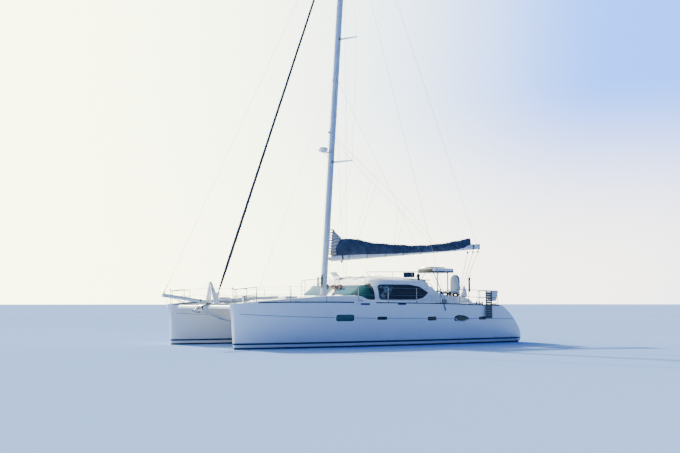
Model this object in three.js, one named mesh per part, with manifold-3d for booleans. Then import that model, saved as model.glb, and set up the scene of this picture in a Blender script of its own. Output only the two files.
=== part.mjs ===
// Cruising sailing catamaran, afloat, in millimetres.
// +X points to the bow, +Y to port and +Z up. The origin is on the centreline, at the
// waterline, amidships.
import * as THREE from 'three';
import { mergeVertices } from 'three/addons/utils/BufferGeometryUtils.js';
import Module from 'manifold-3d';

const wasm = await Module();
wasm.setup();

// Driving dimensions.
const GAP = 0.3; // between pieces that touch
const PIN_SIDES = 24; // a pin and the bore that turns on it have as many flats
const HULL_Y = 2800; // each hull's centreline, from the boat's own
const WELL_WALL = 1600; // half width of the saloon and cockpit wells
const WELL_AFT = -5300;
const WELL_FRONT = 950;
const SALOON_FLOOR = 950;
const COCKPIT_FLOOR = 1150;
const CABIN_AFT = -2600; // outer face of the saloon's aft bulkhead
const WALL = 60; // coachroof and bulkhead thickness
const PAST = { aft: -8000, above: 3500, below: -900, side: 3000 }; // beyond the hulls, for cuts
const MAST_FOOT = { x: 1360, z: 2030 };
const MAST_TOP = 22200;
const MAST_RAKE = 0.0673; // run aft for each unit of height
const HOUNDS = 20200; // height where the forestay and cap shrouds meet the mast
const LOWERS = 11900; // height where the lower shrouds and inner forestay meet it
const CHAINPLATE = { x: -2400, y: 3720, z: 1800 };
const BEAM = { x: 7100, z: 1620, radius: 80 }; // forward crossbeam
const SPRIT = { tip: [9040, 0, 2100], heel: [6950, 0, 1800], radius: 75 };
const GOOSENECK = { x: 1040, z: 3740, pin: 14, sleeve: 30, reach: 50, lug: 34 };
const BOOM = { length: 7900, swing: 10, rise: 5.3 }; // degrees to port and up
const RUDDER = { x: -6150, stock: 40, bore: 150 };
const PROP = { x: -4050, z: -820, radius: 235 };
const CONSOLE = { front: -2830, aft: -3440, top: 2860, inner: 1010, slopeRun: 280, slopeFoot: 2500 };
const HELM = { x: -3530, y: 1300, z: 2330, radius: 380 };

// Hull stations. Columns: x, keel line z, half width at the waterline, half width at deck,
// sheer z, height of the raised trunk on the deck.
const STATIONS = [
  [7510, 1560, 12, 30, 1740, 0],
  [7430, 1080, 24, 85, 1745, 3],
  [7300, -30, 40, 150, 1750, 8],
  [7000, -170, 100, 270, 1768, 16],
  [6400, -300, 215, 470, 1808, 40],
  [5600, -410, 350, 680, 1824, 85],
  [4600, -495, 480, 860, 1830, 150],
  [3400, -560, 600, 975, 1828, 225],
  [2000, -605, 690, 1035, 1816, 250],
  [1300, -612, 712, 1042, 1811, 90],
  [400, -622, 740, 1050, 1804, 60],
  [-1200, -612, 760, 1050, 1790, 50],
  [-2700, -575, 755, 1050, 1765, 40],
  [-4000, -500, 735, 1035, 1730, 25],
  [-5000, -415, 700, 1010, 1705, 20],
  [-5700, -335, 660, 985, 1690, 15],
  [-6000, -300, 640, 965, 1560, 5],
  [-6300, -262, 615, 940, 1350, 5],
  [-6600, -222, 590, 905, 1080, 5],
  [-6900, -180, 560, 850, 740, 5],
  [-7100, -145, 540, 780, 510, 5],
  [-7230, -118, 520, 680, 250, 5],
  [-7300, -90, 505, 560, 60, 2],
];
// Boarding steps cut in each stern. Columns: forward edge x, tread z.
const STEPS = [
  [-5680, 1380],
  [-6020, 1060],
  [-6360, 740],
  [-6700, 400],
];
const STEP_HALF_WIDTH = 560;
// Wells under the deck hatches. Columns: name, x from, x to, y from, y to, floor z.
const WELLS = [
  ['forepeak', 4650, 5150, 2550, 3050, 1000],
  ['engine', -5000, -4200, 2640, 3300, 300],
];
// Coachroof levels. Columns: z, front x, half width, radius of the aft corners.
const CABIN = [
  [1600, 1160, 2650, 20],
  [2020, 1100, 2620, 20],
  [2560, 550, 2465, 40],
  [2740, 310, 2370, 330],
  [2850, 0, 1950, 420],
  [2930, -350, 1250, 420],
  [2965, -700, 500, 200],
];
const CABIN_CORNER = 500;
// Window outlines on the coachroof's side, as x and z, and on its front, as y and z.
const SIDE_FRONT_WINDOW = [[480, 1940], [1300, 1940], [1300, 2630], [560, 2630], [480, 2540]];
const SIDE_AFT_WINDOW = [
  [210, 1990], [210, 2490], [90, 2560], [-1500, 2570], [-2050, 2490],
  [-2470, 2240], [-2150, 2020], [-1750, 1950], [130, 1950],
];
const FRONT_WINDOW = [[120, 2080], [2250, 2080], [2250, 2600], [120, 2600]];
const WINDOW_CLEARANCE = 0.5;
const WINDOW_REACH = { aft: 250, fore: 2000 }; // x between which front windows are cut
// Side coaming's outline, as x and z.
const COAMING_Y = [2300, 2560];
const COAMING = [
  [-2602, 2560], [-2740, 2500], [-2900, 2370], [-3250, 2200], [-3700, 2100], [-4600, 2060],
  [-5000, 1960], [-5200, 1780], [-5240, 1600], [-2602, 1600],
];
// Lifeline stanchions. Columns: x, height over the deck edge.
const STANCHIONS = [
  [7330, 560], [6550, 600], [5230, 610], [3650, 610], [2150, 610], [650, 610],
  [-850, 610], [-2150, 610], [-3250, 630], [-4450, 640], [-5550, 640],
];

// Turns a closed three.js geometry into a solid, faces outward.
function solid(geometry) {
  const bare = geometry.clone();
  bare.deleteAttribute('normal');
  bare.deleteAttribute('uv');
  const merged = mergeVertices(bare, 1e-3);
  const positions = new Float32Array(merged.attributes.position.array);
  const triangles = new Uint32Array(merged.index.array);
  const corner = (i) => new THREE.Vector3().fromArray(positions, 3 * triangles[i]);
  let volume = 0;
  for (let i = 0; i < triangles.length; i += 3) {
    volume += corner(i).dot(corner(i + 1).cross(corner(i + 2)));
  }
  if (volume < 0) {
    for (let i = 0; i < triangles.length; i += 3) {
      [triangles[i], triangles[i + 1]] = [triangles[i + 1], triangles[i]];
    }
  }
  const mesh = new wasm.Mesh({ numProp: 3, vertProperties: positions, triVerts: triangles });
  return new wasm.Manifold(mesh);
}

function join(solids) {
  return solids.reduce((all, one) => all.add(one));
}

// Skin through sections of equal point count, closed at both ends by fans.
function loft(sections) {
  const count = sections[0].length;
  const positions = sections.flat().flatMap((p) => p.toArray());
  const index = [];
  sections.slice(1).forEach((section, s) => {
    section.forEach((point, i) => {
      const j = (i + 1) % count;
      const a = s * count;
      index.push(a + i, a + j, a + count + j, a + i, a + count + j, a + count + i);
    });
  });
  [0, sections.length - 1].forEach((s) => {
    const centre = new THREE.Vector3();
    sections[s].forEach((p) => centre.addScaledVector(p, 1 / count));
    const hub = positions.length / 3;
    positions.push(...centre.toArray());
    sections[s].forEach((point, i) => {
      const a = s * count + i;
      const b = s * count + ((i + 1) % count);
      index.push(...(s === 0 ? [hub, b, a] : [hub, a, b]));
    });
  });
  const geometry = new THREE.BufferGeometry();
  geometry.setAttribute('position', new THREE.Float32BufferAttribute(positions, 3));
  geometry.setIndex(index);
  return solid(geometry);
}

function box(x0, x1, y0, y1, z0, z1) {
  const geometry = new THREE.BoxGeometry(x1 - x0, y1 - y0, z1 - z0);
  geometry.translate((x0 + x1) / 2, (y0 + y1) / 2, (z0 + z1) / 2);
  return solid(geometry);
}

// Round bar from one point to another, tapered when its radii differ.
function rod(from, to, radiusFrom, radiusTo = radiusFrom, sides = 8) {
  const a = new THREE.Vector3(...from);
  const b = new THREE.Vector3(...to);
  const along = b.clone().sub(a);
  const geometry = new THREE.CylinderGeometry(radiusTo, radiusFrom, along.length(), sides);
  const turn = new THREE.Quaternion();
  turn.setFromUnitVectors(new THREE.Vector3(0, 1, 0), along.clone().normalize());
  geometry.applyQuaternion(turn);
  geometry.translate(...a.add(b).multiplyScalar(0.5).toArray());
  return solid(geometry);
}

// Flat outline given in two axes, extruded along the third from one place to another.
function prism(axis, outline, from, to) {
  const shape = new THREE.Shape(outline.map(([a, b]) => new THREE.Vector2(a, b)));
  const geometry = new THREE.ExtrudeGeometry(shape, { depth: to - from, bevelEnabled: false });
  geometry.translate(0, 0, from);
  const basis = {
    x: [[0, 1, 0], [0, 0, 1], [1, 0, 0]],
    y: [[1, 0, 0], [0, 0, 1], [0, 1, 0]],
    z: [[1, 0, 0], [0, 1, 0], [0, 0, 1]],
  }[axis].map((v) => new THREE.Vector3(...v));
  geometry.applyMatrix4(new THREE.Matrix4().makeBasis(...basis));
  return solid(geometry);
}

// Body of revolution. The profile holds [radius, height] pairs from axis to axis.
function turned(profile, from, direction, sides = 16) {
  const points = profile.map(([radius, height]) => new THREE.Vector2(radius, height));
  const geometry = new THREE.LatheGeometry(points, sides);
  const turn = new THREE.Quaternion();
  turn.setFromUnitVectors(new THREE.Vector3(0, 1, 0), new THREE.Vector3(...direction).normalize());
  geometry.applyQuaternion(turn);
  geometry.translate(...from);
  return solid(geometry);
}

// Radius of a bore in which a pin of equally many flats turns freely.
function boreFor(radius) {
  return (radius + GAP) / Math.cos(Math.PI / PIN_SIDES);
}

const group = new THREE.Group();
const PAINTS = {
  gelcoat: [0xe9ecf0, 0.3, 0],
  antifoul: [0x1c2430, 0.8, 0],
  steel: [0xb8bcc2, 0.25, 1],
  alloy: [0xd7dade, 0.4, 0.6],
  bronze: [0x9a7440, 0.4, 1],
  navy: [0x141d33, 0.9, 0],
  sailcloth: [0xb9b8b4, 0.8, 0],
  glass: [0x16333c, 0.1, 0],
  net: [0xd5d8da, 0.9, 0],
  dark: [0x24262a, 0.6, 0],
  wood: [0x6a4a2c, 0.6, 0],
  seat: [0x8f9bb0, 0.8, 0],
};

function place(name, paint, body) {
  const { vertProperties, triVerts } = body.getMesh();
  const geometry = new THREE.BufferGeometry();
  geometry.setAttribute('position', new THREE.BufferAttribute(vertProperties, 3));
  geometry.setIndex(new THREE.BufferAttribute(triVerts, 1));
  const [color, roughness, metalness] = PAINTS[paint];
  const material = new THREE.MeshStandardMaterial({ color, roughness, metalness });
  const mesh = new THREE.Mesh(geometry, material);
  mesh.name = name;
  group.add(mesh);
}

const SIDES = [['port', 1], ['starboard', -1]];

function lerp(a, b, t) {
  return a + (b - a) * t;
}

// Value of a station column at any x.
function station(column, x) {
  const after = Math.max(1, STATIONS.findIndex((row) => row[0] <= x));
  const [fore, aft] = [STATIONS[after - 1], STATIONS[after]];
  const t = (fore[0] - x) / (fore[0] - aft[0]);
  return lerp(fore[column], aft[column], t);
}

// One hull section: a round bottom, flared topsides and a raised trunk on the deck.
function hullSection([x, keel, water, deck, sheer, trunk], side, grow) {
  const level = keel < 0 ? 50 : lerp(keel, sheer, 0.3);
  const under = level - keel;
  // Half width and height of each point on one side, from the keel line up.
  const half = [
    [0.45 * water, keel + 0.04 * under],
    [0.8 * water, keel + 0.28 * under],
    [water, level],
    [lerp(water, deck, 0.6), lerp(level, sheer, 0.3)],
    [lerp(water, deck, 0.9), lerp(level, sheer, 0.66)],
    [deck, sheer],
    [0.78 * deck, sheer + 0.12 * trunk + 2],
    [0.66 * deck, sheer + trunk + 4],
  ];
  const lift = (z) => z + grow * (z > level ? 1 : -1);
  const point = (y, z) => new THREE.Vector3(x, side * HULL_Y + y, lift(z));
  return [
    point(0, keel),
    ...half.map(([y, z]) => point(y + grow, z)),
    point(0, sheer + 1.1 * trunk + 8),
    ...half.reverse().map(([y, z]) => point(-y - grow, z)),
  ];
}

function hullBlank(side, grow = 0) {
  const rows = STATIONS.map((row) => [...row]);
  rows[0][0] += grow;
  rows[rows.length - 1][0] -= grow;
  return loft(rows.map((row) => hullSection(row, side, grow)));
}

function sideways(side, y0, y1) {
  return side > 0 ? [y0, y1] : [-y1, -y0];
}

function hull(side) {
  let body = hullBlank(side);
  STEPS.forEach(([front, tread]) => {
    const inner = side * HULL_Y - STEP_HALF_WIDTH;
    body = body.subtract(box(PAST.aft, front, inner, inner + 2 * STEP_HALF_WIDTH, tread, PAST.above));
  });
  WELLS.forEach(([name, x0, x1, y0, y1, floor]) => {
    body = body.subtract(box(x0, x1, ...sideways(side, y0, y1), floor, PAST.above));
  });
  const stockTop = station(1, RUDDER.x) + RUDDER.bore;
  const foot = [RUDDER.x, side * HULL_Y, PAST.below];
  const bore = boreFor(RUDDER.stock);
  body = body.subtract(rod(foot, [RUDDER.x, side * HULL_Y, stockTop], bore, bore, PIN_SIDES));
  return body;
}

const grown = SIDES.map(([, side]) => hullBlank(side, GAP));

function clearOfHulls(body) {
  return grown.reduce((rest, one) => rest.subtract(one), body);
}

SIDES.forEach(([name, side]) => place(`hull_${name}`, 'gelcoat', hull(side)));

// Bridge deck between the hulls, open above for the saloon and the cockpit.
const BRIDGE_OUTLINE = [
  [-5600, 900], [-5600, 1700], [CABIN_AFT, 1745], [1100, 1900], [MAST_FOOT.x + 300, 1950],
  [4300, 1900], [4480, 1720], [4480, 1300], [3700, 800], [-5000, 760],
];
const BRIDGE_HALF = 1950; // reaches into each hull, which then cuts it
const MAST_STEP = { aft: 190, fore: 260, half: 190, base: 1850 };
const mastStep = box(MAST_FOOT.x - MAST_STEP.aft, MAST_FOOT.x + MAST_STEP.fore, -MAST_STEP.half,
  MAST_STEP.half, MAST_STEP.base, MAST_FOOT.z - GAP);
function bridgeDeck(grow) {
  const middle = (SALOON_FLOOR + COCKPIT_FLOOR) / 2;
  const outline = BRIDGE_OUTLINE.map(([x, z]) => [
    x + Math.sign(x) * grow, z + Math.sign(z - middle) * grow,
  ]);
  const well = (x0, x1, floor) => box(x0, x1, -WELL_WALL, WELL_WALL, floor, PAST.above);
  return prism('y', outline, -BRIDGE_HALF, BRIDGE_HALF)
    .subtract(well(WELL_AFT + grow, CABIN_AFT + WALL, COCKPIT_FLOOR))
    .subtract(well(CABIN_AFT + WALL, WELL_FRONT, SALOON_FLOOR));
}
place('bridge_deck', 'gelcoat', clearOfHulls(bridgeDeck(0).add(mastStep)));
const bridgeGrown = bridgeDeck(GAP);

// Coachroof: a shell with a raked front, rounded corners and a cambered top.
function cabinLevel([z, front, half, aftCorner], inset) {
  const x0 = CABIN_AFT + inset;
  const x1 = front - inset;
  const w = half - inset;
  const frontCorner = Math.min(CABIN_CORNER, 0.8 * w);
  // Each corner: its place, its radius and the turn at which its arc starts.
  const corners = [
    [x1, w, frontCorner, 90],
    [x1, -w, frontCorner, 0],
    [x0, -w, aftCorner, -90],
    [x0, w, aftCorner, -180],
  ];
  return corners.flatMap(([x, y, radius, start]) => [0, 1, 2, 3, 4].map((i) => {
    const turn = THREE.MathUtils.degToRad(start - 22.5 * i);
    const cx = x - Math.sign(x - (x0 + x1) / 2) * radius;
    const cy = y - Math.sign(y) * radius;
    return new THREE.Vector3(cx + radius * Math.cos(turn), cy + radius * Math.sin(turn), z);
  }));
}
function cabinBlank(inset, bottom = 0) {
  const rows = CABIN.map(([z, ...rest], i) => [i === 0 ? z - bottom : z - inset, ...rest]);
  return loft(rows.map((row) => cabinLevel(row, inset)));
}
// An outline moved inwards by a margin, for the pane that sits in an opening.
function shrink(outline, margin) {
  const ring = outline.map(([a, b]) => new THREE.Vector2(a, b));
  const inward = Math.sign(THREE.ShapeUtils.area(ring));
  const at = (i) => ring[(i + ring.length) % ring.length];
  const normal = (i) => {
    const along = at(i + 1).clone().sub(at(i)).normalize();
    return new THREE.Vector2(-along.y, along.x).multiplyScalar(inward);
  };
  return ring.map((point, i) => {
    const sum = normal(i - 1).add(normal(i));
    return point.clone().addScaledVector(sum, (2 * margin) / sum.lengthSq()).toArray();
  });
}
function sideWindow(outline, side, margin) {
  return prism('y', shrink(outline, margin), ...sideways(side, BRIDGE_HALF + margin, PAST.side));
}
function frontWindow(side, margin) {
  const front = shrink(FRONT_WINDOW, margin).map(([y, z]) => [side * y, z]);
  return prism('x', front, WINDOW_REACH.aft + margin, WINDOW_REACH.fore)
    .add(sideWindow(SIDE_FRONT_WINDOW, side, margin));
}

// Open hatch on the coachroof. Its lid turns on a bar held between two ears.
const ROOF_HATCH = {
  x0: -310, x1: -115, y0: -1250, y1: -800, base: 2790, rim: 2957, wall: 50, lap: 30, thick: 30, open: 130,
};
const HINGE = { x: -50, z: 2980, bar: 14, ear: 25, earHalf: 20, earTop: 2996 };
const DOOR = { y0: -1150, y1: -150, z0: 1220, z1: 2540 };

let coachroof = cabinBlank(0).subtract(cabinBlank(WALL, 200));
// Below the coachroof the aft bulkhead goes down to the cockpit floor.
coachroof = coachroof.add(box(CABIN_AFT, CABIN_AFT + WALL, -WELL_WALL + GAP, WELL_WALL - GAP,
  COCKPIT_FLOOR + GAP, 1800));
SIDES.forEach(([, side]) => {
  coachroof = coachroof.subtract(frontWindow(side, 0));
  coachroof = coachroof.subtract(sideWindow(SIDE_AFT_WINDOW, side, 0));
});
coachroof = coachroof.subtract(box(CABIN_AFT - 10, CABIN_AFT + WALL + 10, DOOR.y0, DOOR.y1,
  DOOR.z0, DOOR.z1));
const { x0: hatchAft, x1: hatchFore, y0: hatchLow, y1: hatchHigh, lap, wall } = ROOF_HATCH;
coachroof = coachroof.add(box(hatchAft - wall, HINGE.x + HINGE.earHalf, hatchLow - wall,
  hatchHigh + wall, ROOF_HATCH.base, ROOF_HATCH.rim));
const earSpans = [
  [hatchLow - lap - HINGE.ear, hatchLow - lap - GAP],
  [hatchHigh + lap + GAP, hatchHigh + lap + HINGE.ear],
];
earSpans.forEach(([y0, y1]) => {
  coachroof = coachroof.add(box(HINGE.x - HINGE.earHalf, HINGE.x + HINGE.earHalf, y0, y1,
    ROOF_HATCH.rim - 25, HINGE.earTop));
});
coachroof = coachroof.subtract(box(hatchAft, hatchFore, hatchLow, hatchHigh, 2500, PAST.above));
coachroof = clearOfHulls(coachroof).subtract(bridgeGrown);
const WINCH = { x: -2350, y: 1800, base: 2790 };
// Columns: radius, height.
const WINCH_PROFILE = [[0, 0], [85, 0], [85, 130], [60, 160], [60, 230], [75, 260], [0, 265]];
SIDES.forEach(([, side]) => {
  const foot = [WINCH.x, side * WINCH.y, WINCH.base];
  coachroof = coachroof.add(turned(WINCH_PROFILE, foot, [0, 0, 1], 12));
});
place('coachroof', 'gelcoat', coachroof);
// The coachroof's outside a little larger, to seat tubes on it.
const coachroofGrown = cabinBlank(-GAP).trimByPlane([0, 0, 1], 2100);

const pane = cabinBlank(12).subtract(cabinBlank(34, 200));
SIDES.forEach(([name, side]) => {
  place(`window_front_${name}`, 'glass', pane.intersect(frontWindow(side, WINDOW_CLEARANCE)));
  place(`window_aft_${name}`, 'glass',
    pane.intersect(sideWindow(SIDE_AFT_WINDOW, side, WINDOW_CLEARANCE)));
});

place('saloon_door', 'glass', box(CABIN_AFT - 46, CABIN_AFT - 6, DOOR.y0 - 50, DOOR.y1 + 50,
  COCKPIT_FLOOR + GAP, DOOR.z1 + 40));

SIDES.forEach(([name, side]) => {
  const coaming = prism('y', COAMING, ...sideways(side, ...COAMING_Y));
  place(`coaming_${name}`, 'gelcoat', clearOfHulls(coaming));
});
// The port coaming with a higher top, on which the hardtop's strut stands.
const coamingGrown = prism('y', COAMING.map(([x, z]) => [x, z + GAP]), COAMING_Y[0] - GAP,
  COAMING_Y[1] + GAP);

// Hinged lids. The deck lids lie on the hull over their wells.
const LID = { lap: 40, thick: 45 };
WELLS.forEach(([well, x0, x1, y0, y1]) => {
  SIDES.forEach(([name, side]) => {
    const [low, high] = sideways(side, y0 - LID.lap, y1 + LID.lap);
    const top = Math.max(...[x0, x1].map((x) => station(4, x) + 1.1 * station(5, x) + 8));
    const lid = box(x0 - LID.lap, x1 + LID.lap, low, high, top - 60, top + LID.thick);
    place(`${well}_lid_${name}`, 'gelcoat', clearOfHulls(lid));
  });
});
const lidLong = HINGE.x - hatchAft + 40;
const lidPlate = new THREE.BoxGeometry(lidLong, hatchHigh - hatchLow + 2 * lap, ROOF_HATCH.thick);
lidPlate.translate(-lidLong / 2, 0, 0);
lidPlate.rotateY(THREE.MathUtils.degToRad(ROOF_HATCH.open));
lidPlate.translate(HINGE.x, (hatchLow + hatchHigh) / 2, HINGE.z);
const hingeBar = rod([HINGE.x, hatchLow - lap, HINGE.z], [HINGE.x, hatchHigh + lap, HINGE.z],
  HINGE.bar, HINGE.bar, 12);
place('roof_hatch_lid', 'glass', solid(lidPlate).add(hingeBar));

// Central nacelle, crossbeam, bowsprit and the striker that braces it.
const beam = (half, radius) => rod([BEAM.x, -half, BEAM.z], [BEAM.x, half, BEAM.z], radius, radius, 16);
const beamGrown = beam(PAST.side, BEAM.radius + GAP);
const [heelX, heelY, heelZ] = SPRIT.heel;
const spritGrown = rod([heelX - GAP, heelY, heelZ], SPRIT.tip, SPRIT.radius + GAP, SPRIT.radius + GAP, 16);
const NACELLE_OUTLINE = [
  [4480 + GAP, 860], [5500, 930], [6300, 1100], [7150, 1400], [7330, 1480],
  [7360, 1700], [7000, 1755], [4480 + GAP, 1790],
];
const NACELLE_HALF = 290;
// The nacelle's form, moved forward or up and widened for what stands against it.
const nacelleBlank = (fore = 0, up = 0, wide = 0) => prism('y',
  NACELLE_OUTLINE.map(([x, z]) => [x + fore, z + up]), -NACELLE_HALF - wide, NACELLE_HALF + wide);
const nacelle = nacelleBlank().subtract(beamGrown).subtract(spritGrown);
place('nacelle', 'gelcoat', nacelle);
place('crossbeam', 'alloy', clearOfHulls(beam(HULL_Y, BEAM.radius)));
place('bowsprit', 'alloy', rod(SPRIT.heel, SPRIT.tip, SPRIT.radius, SPRIT.radius, 16));
// The striker: two cheeks that lean together over the nacelle, on a base plate.
const STRIKER = { x0: 6600, x1: 6940, half: 430, under: 1740, base: 1795, top: 2650, thick: 40 };
// Columns: height, x of the aft edge, x of the fore edge, distance from the centreline.
const CHEEK_ROWS = [[STRIKER.base - 20, 6675, 6925, 385], [STRIKER.top, 6865, 6935, 15]];
function cheekSection([z, aft, fore, y], side) {
  const ring = [[aft, -1], [fore, -1], [fore, 1], [aft, 1]];
  return ring.map(([x, face]) => new THREE.Vector3(x, side * y + (face * STRIKER.thick) / 2, z));
}
const cheeks = SIDES.map(([, side]) => loft(CHEEK_ROWS.map((row) => cheekSection(row, side))));
const strikerBase = box(STRIKER.x0, STRIKER.x1, -STRIKER.half, STRIKER.half, STRIKER.under, STRIKER.base);
place('striker', 'gelcoat', join([...cheeks, strikerBase]).subtract(nacelle.translate([0, 0, GAP]))
  .subtract(nacelle).subtract(spritGrown));

const NET = { aft: 4480, z0: 1640, z1: 1652 };
SIDES.forEach(([name, side]) => {
  const net = box(NET.aft + GAP, BEAM.x - BEAM.radius - GAP,
    ...sideways(side, NACELLE_HALF + GAP, PAST.side), NET.z0, NET.z1);
  place(`trampoline_${name}`, 'net', clearOfHulls(net));
});

// Keels, rudders, drive legs and propellers under each hull.
SIDES.forEach(([name, side]) => {
  const y = side * HULL_Y;
  // Columns: height, leading x, trailing x, half thickness.
  const fin = [
    [-1400, 1350, -950, 95],
    [-1250, 1500, -1050, 120],
    [-450, 1900, -1250, 140],
  ].map(([z, lead, trail, half]) => [
    [lead, 0], [lerp(lead, trail, 0.12), half], [lerp(lead, trail, 0.45), half],
    [trail, 10], [trail, -10], [lerp(lead, trail, 0.45), -half], [lerp(lead, trail, 0.12), -half],
  ].map(([x, offset]) => new THREE.Vector3(x, y + offset, z)));
  place(`keel_${name}`, 'antifoul', clearOfHulls(loft(fin)));

  const bladeTop = station(1, RUDDER.x) - 60;
  const blade = [
    [-1250, 130, -330, 28],
    [bladeTop, 190, -460, 42],
  ].map(([z, lead, trail, half]) => [
    [lead, 0], [lerp(lead, trail, 0.15), half], [lerp(lead, trail, 0.45), half],
    [trail, 5], [trail, -5], [lerp(lead, trail, 0.45), -half], [lerp(lead, trail, 0.15), -half],
  ].map(([x, offset]) => new THREE.Vector3(RUDDER.x + x, y + offset, z)));
  const stockTop = station(1, RUDDER.x) + RUDDER.bore - GAP;
  const stock = rod([RUDDER.x, y, bladeTop - 300], [RUDDER.x, y, stockTop], RUDDER.stock,
    RUDDER.stock, PIN_SIDES);
  place(`rudder_${name}`, 'antifoul', loft(blade).add(stock));

  const legTop = -350;
  const leg = [PROP.z, legTop].map((z) => [
    [170, 0], [90, 45], [-90, 45], [-170, 0], [-90, -45], [90, -45],
  ].map(([x, offset]) => new THREE.Vector3(PROP.x + 210 + x, y + offset, z)));
  const pod = turned([[0, 0], [62, 0], [72, 120], [60, 320], [0, 420]],
    [PROP.x + 6, y, PROP.z], [1, 0, 0], 12);
  place(`drive_leg_${name}`, 'antifoul', clearOfHulls(loft(leg).add(pod)));

  const hub = turned([[0, -150], [35, -140], [55, -60], [58, 0], [0, 0]],
    [PROP.x + 6 - GAP, y, PROP.z], [1, 0, 0], 12);
  const blades = [0, 1, 2].map((k) => {
    const geometry = new THREE.BoxGeometry(14, 120, PROP.radius - 40);
    geometry.translate(0, 0, (PROP.radius + 40) / 2);
    geometry.rotateZ(THREE.MathUtils.degToRad(55));
    geometry.rotateX((2 * Math.PI * k) / 3);
    geometry.translate(PROP.x - 60, y, PROP.z);
    return solid(geometry);
  });
  place(`propeller_${name}`, 'bronze', join([hub, ...blades]));

  const [, x0, x1, y0, y1, floor] = WELLS[1];
  const [low, high] = sideways(side, y0 + 90, y1 - 130);
  place(`engine_${name}`, 'dark', box(x0 + 70, x1 - 70, low, high, floor + GAP, floor + 620));
});

// Mast with its swept spreaders.
const mastX = (z) => MAST_FOOT.x - MAST_RAKE * (z - MAST_FOOT.z);
function mastSection([z, fore, side], grow) {
  return Array.from({ length: 14 }, (unused, i) => {
    const turn = (2 * Math.PI * i) / 14;
    const x = mastX(z) + (fore / 2 + grow) * Math.cos(turn);
    return new THREE.Vector3(x, (side / 2 + grow) * Math.sin(turn), z);
  });
}
// Columns: z, length fore and aft, width.
const MAST_SECTIONS = [
  [MAST_FOOT.z, 300, 190],
  [HOUNDS - 4000, 290, 180],
  [MAST_TOP, 190, 130],
];
// Spreaders. Columns: root z, reach sideways, sweep aft, rise.
const SPREADERS = [
  [8070, 900, 540, 20],
  [13730, 800, 480, 20],
];
const arms = SPREADERS.flatMap(([z, reach, sweep, rise]) => SIDES.map(([, side]) => rod(
  [mastX(z) - 40, 0, z], [mastX(z) - sweep, side * reach, z + rise], 34, 16)));
// The boom turns on a pin that the mast holds between two lugs. This frame stands on the
// pin, and its height runs along the mast.
const mastTurn = new THREE.Matrix4().makeTranslation(GOOSENECK.x, 0, GOOSENECK.z);
mastTurn.multiply(new THREE.Matrix4().makeRotationY(-Math.atan(MAST_RAKE)));
const pinTo = (reach, radius) => rod([0, 0, -reach], [0, 0, reach], radius, radius, PIN_SIDES);
const lugSpan = [GOOSENECK.reach, GOOSENECK.reach + 14];
const lugs = [lugSpan, lugSpan.map((z) => -z).reverse()].map(([low, high]) => join([
  box(0, 130, -GOOSENECK.lug, GOOSENECK.lug, low, high),
  rod([0, 0, low], [0, 0, high], GOOSENECK.lug, GOOSENECK.lug, 16),
]));
const gooseneck = join([...lugs, pinTo(GOOSENECK.reach + 20, GOOSENECK.pin)])
  .transform(mastTurn.elements);
const mast = join([loft(MAST_SECTIONS.map((row) => mastSection(row, 0))), ...arms, gooseneck]);
place('mast', 'alloy', mast);
const mastGrown = loft(MAST_SECTIONS.map((row) => mastSection(row, GAP)));
const onMast = (z, y = 0) => [mastX(z), y, z];
const clearOfMast = (body) => body.subtract(mastGrown);

// Standing rigging and the headsail furled on its stay.
const STAY_FOOT = [6700, 0, 1770];
const stayAt = (z) => {
  const t = (z - STAY_FOOT[2]) / (HOUNDS - STAY_FOOT[2]);
  return [lerp(STAY_FOOT[0], mastX(HOUNDS), t), 0, z];
};
const sail = join([
  rod(stayAt(2330), stayAt(HOUNDS), 9, 9, 6),
  rod(stayAt(2330), stayAt(2700), 50, 60, 10),
  rod(stayAt(2690), stayAt(17800), 60, 46, 10),
  rod(stayAt(17790), stayAt(18600), 46, 18, 10),
]);
place('furled_headsail', 'navy', clearOfMast(sail));
const drum = join([
  rod(stayAt(1700), stayAt(2330 - GAP), 16, 16, 8),
  rod(stayAt(1960), stayAt(2020), 95, 95, 14),
  rod(stayAt(2010), stayAt(2190), 60, 60, 12),
  rod(stayAt(2180), stayAt(2230), 95, 95, 14),
]);
place('furler_drum', 'dark', drum.trimByPlane([0, 0, 1], STRIKER.base + GAP));
place('inner_forestay', 'steel', clearOfMast(rod([4850, 0, 1700], onMast(LOWERS), 7, 7, 6)).subtract(
  box(4000, 5500, -300, 300, 1500, 1789)));
place('outer_forestay', 'steel', clearOfMast(rod([8960, 0, 2075], onMast(HOUNDS + 150), 7, 7, 6))
  .subtract(spritGrown));
SIDES.forEach(([name, side]) => {
  const foot = [CHAINPLATE.x, side * CHAINPLATE.y, CHAINPLATE.z - 80];
  const footAft = [CHAINPLATE.x - 90, side * CHAINPLATE.y, CHAINPLATE.z - 80];
  const cap = rod(footAft, onMast(HOUNDS - 200, side * 50), 8, 8, 6);
  const lower = rod(foot, onMast(LOWERS - 100, side * 50), 7, 7, 6);
  place(`cap_shroud_${name}`, 'steel', clearOfHulls(clearOfMast(cap)));
  place(`lower_shroud_${name}`, 'steel', clearOfHulls(clearOfMast(lower)));
});

const RADAR = { z: 8480, reach: 330, radius: 215, height: 200 };
const radarX = mastX(RADAR.z) + RADAR.reach + 120;
const radome = turned([[0, 0], [RADAR.radius, 0], [RADAR.radius, 0.55 * RADAR.height],
  [0.8 * RADAR.radius, RADAR.height], [0, RADAR.height]], [radarX, 0, RADAR.z + 40], [0, 0, 1], 18);
const radarArm = box(mastX(RADAR.z), radarX + 120, -60, 60, RADAR.z, RADAR.z + 45);
place('radome', 'gelcoat', clearOfMast(radome.add(radarArm)));

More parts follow.
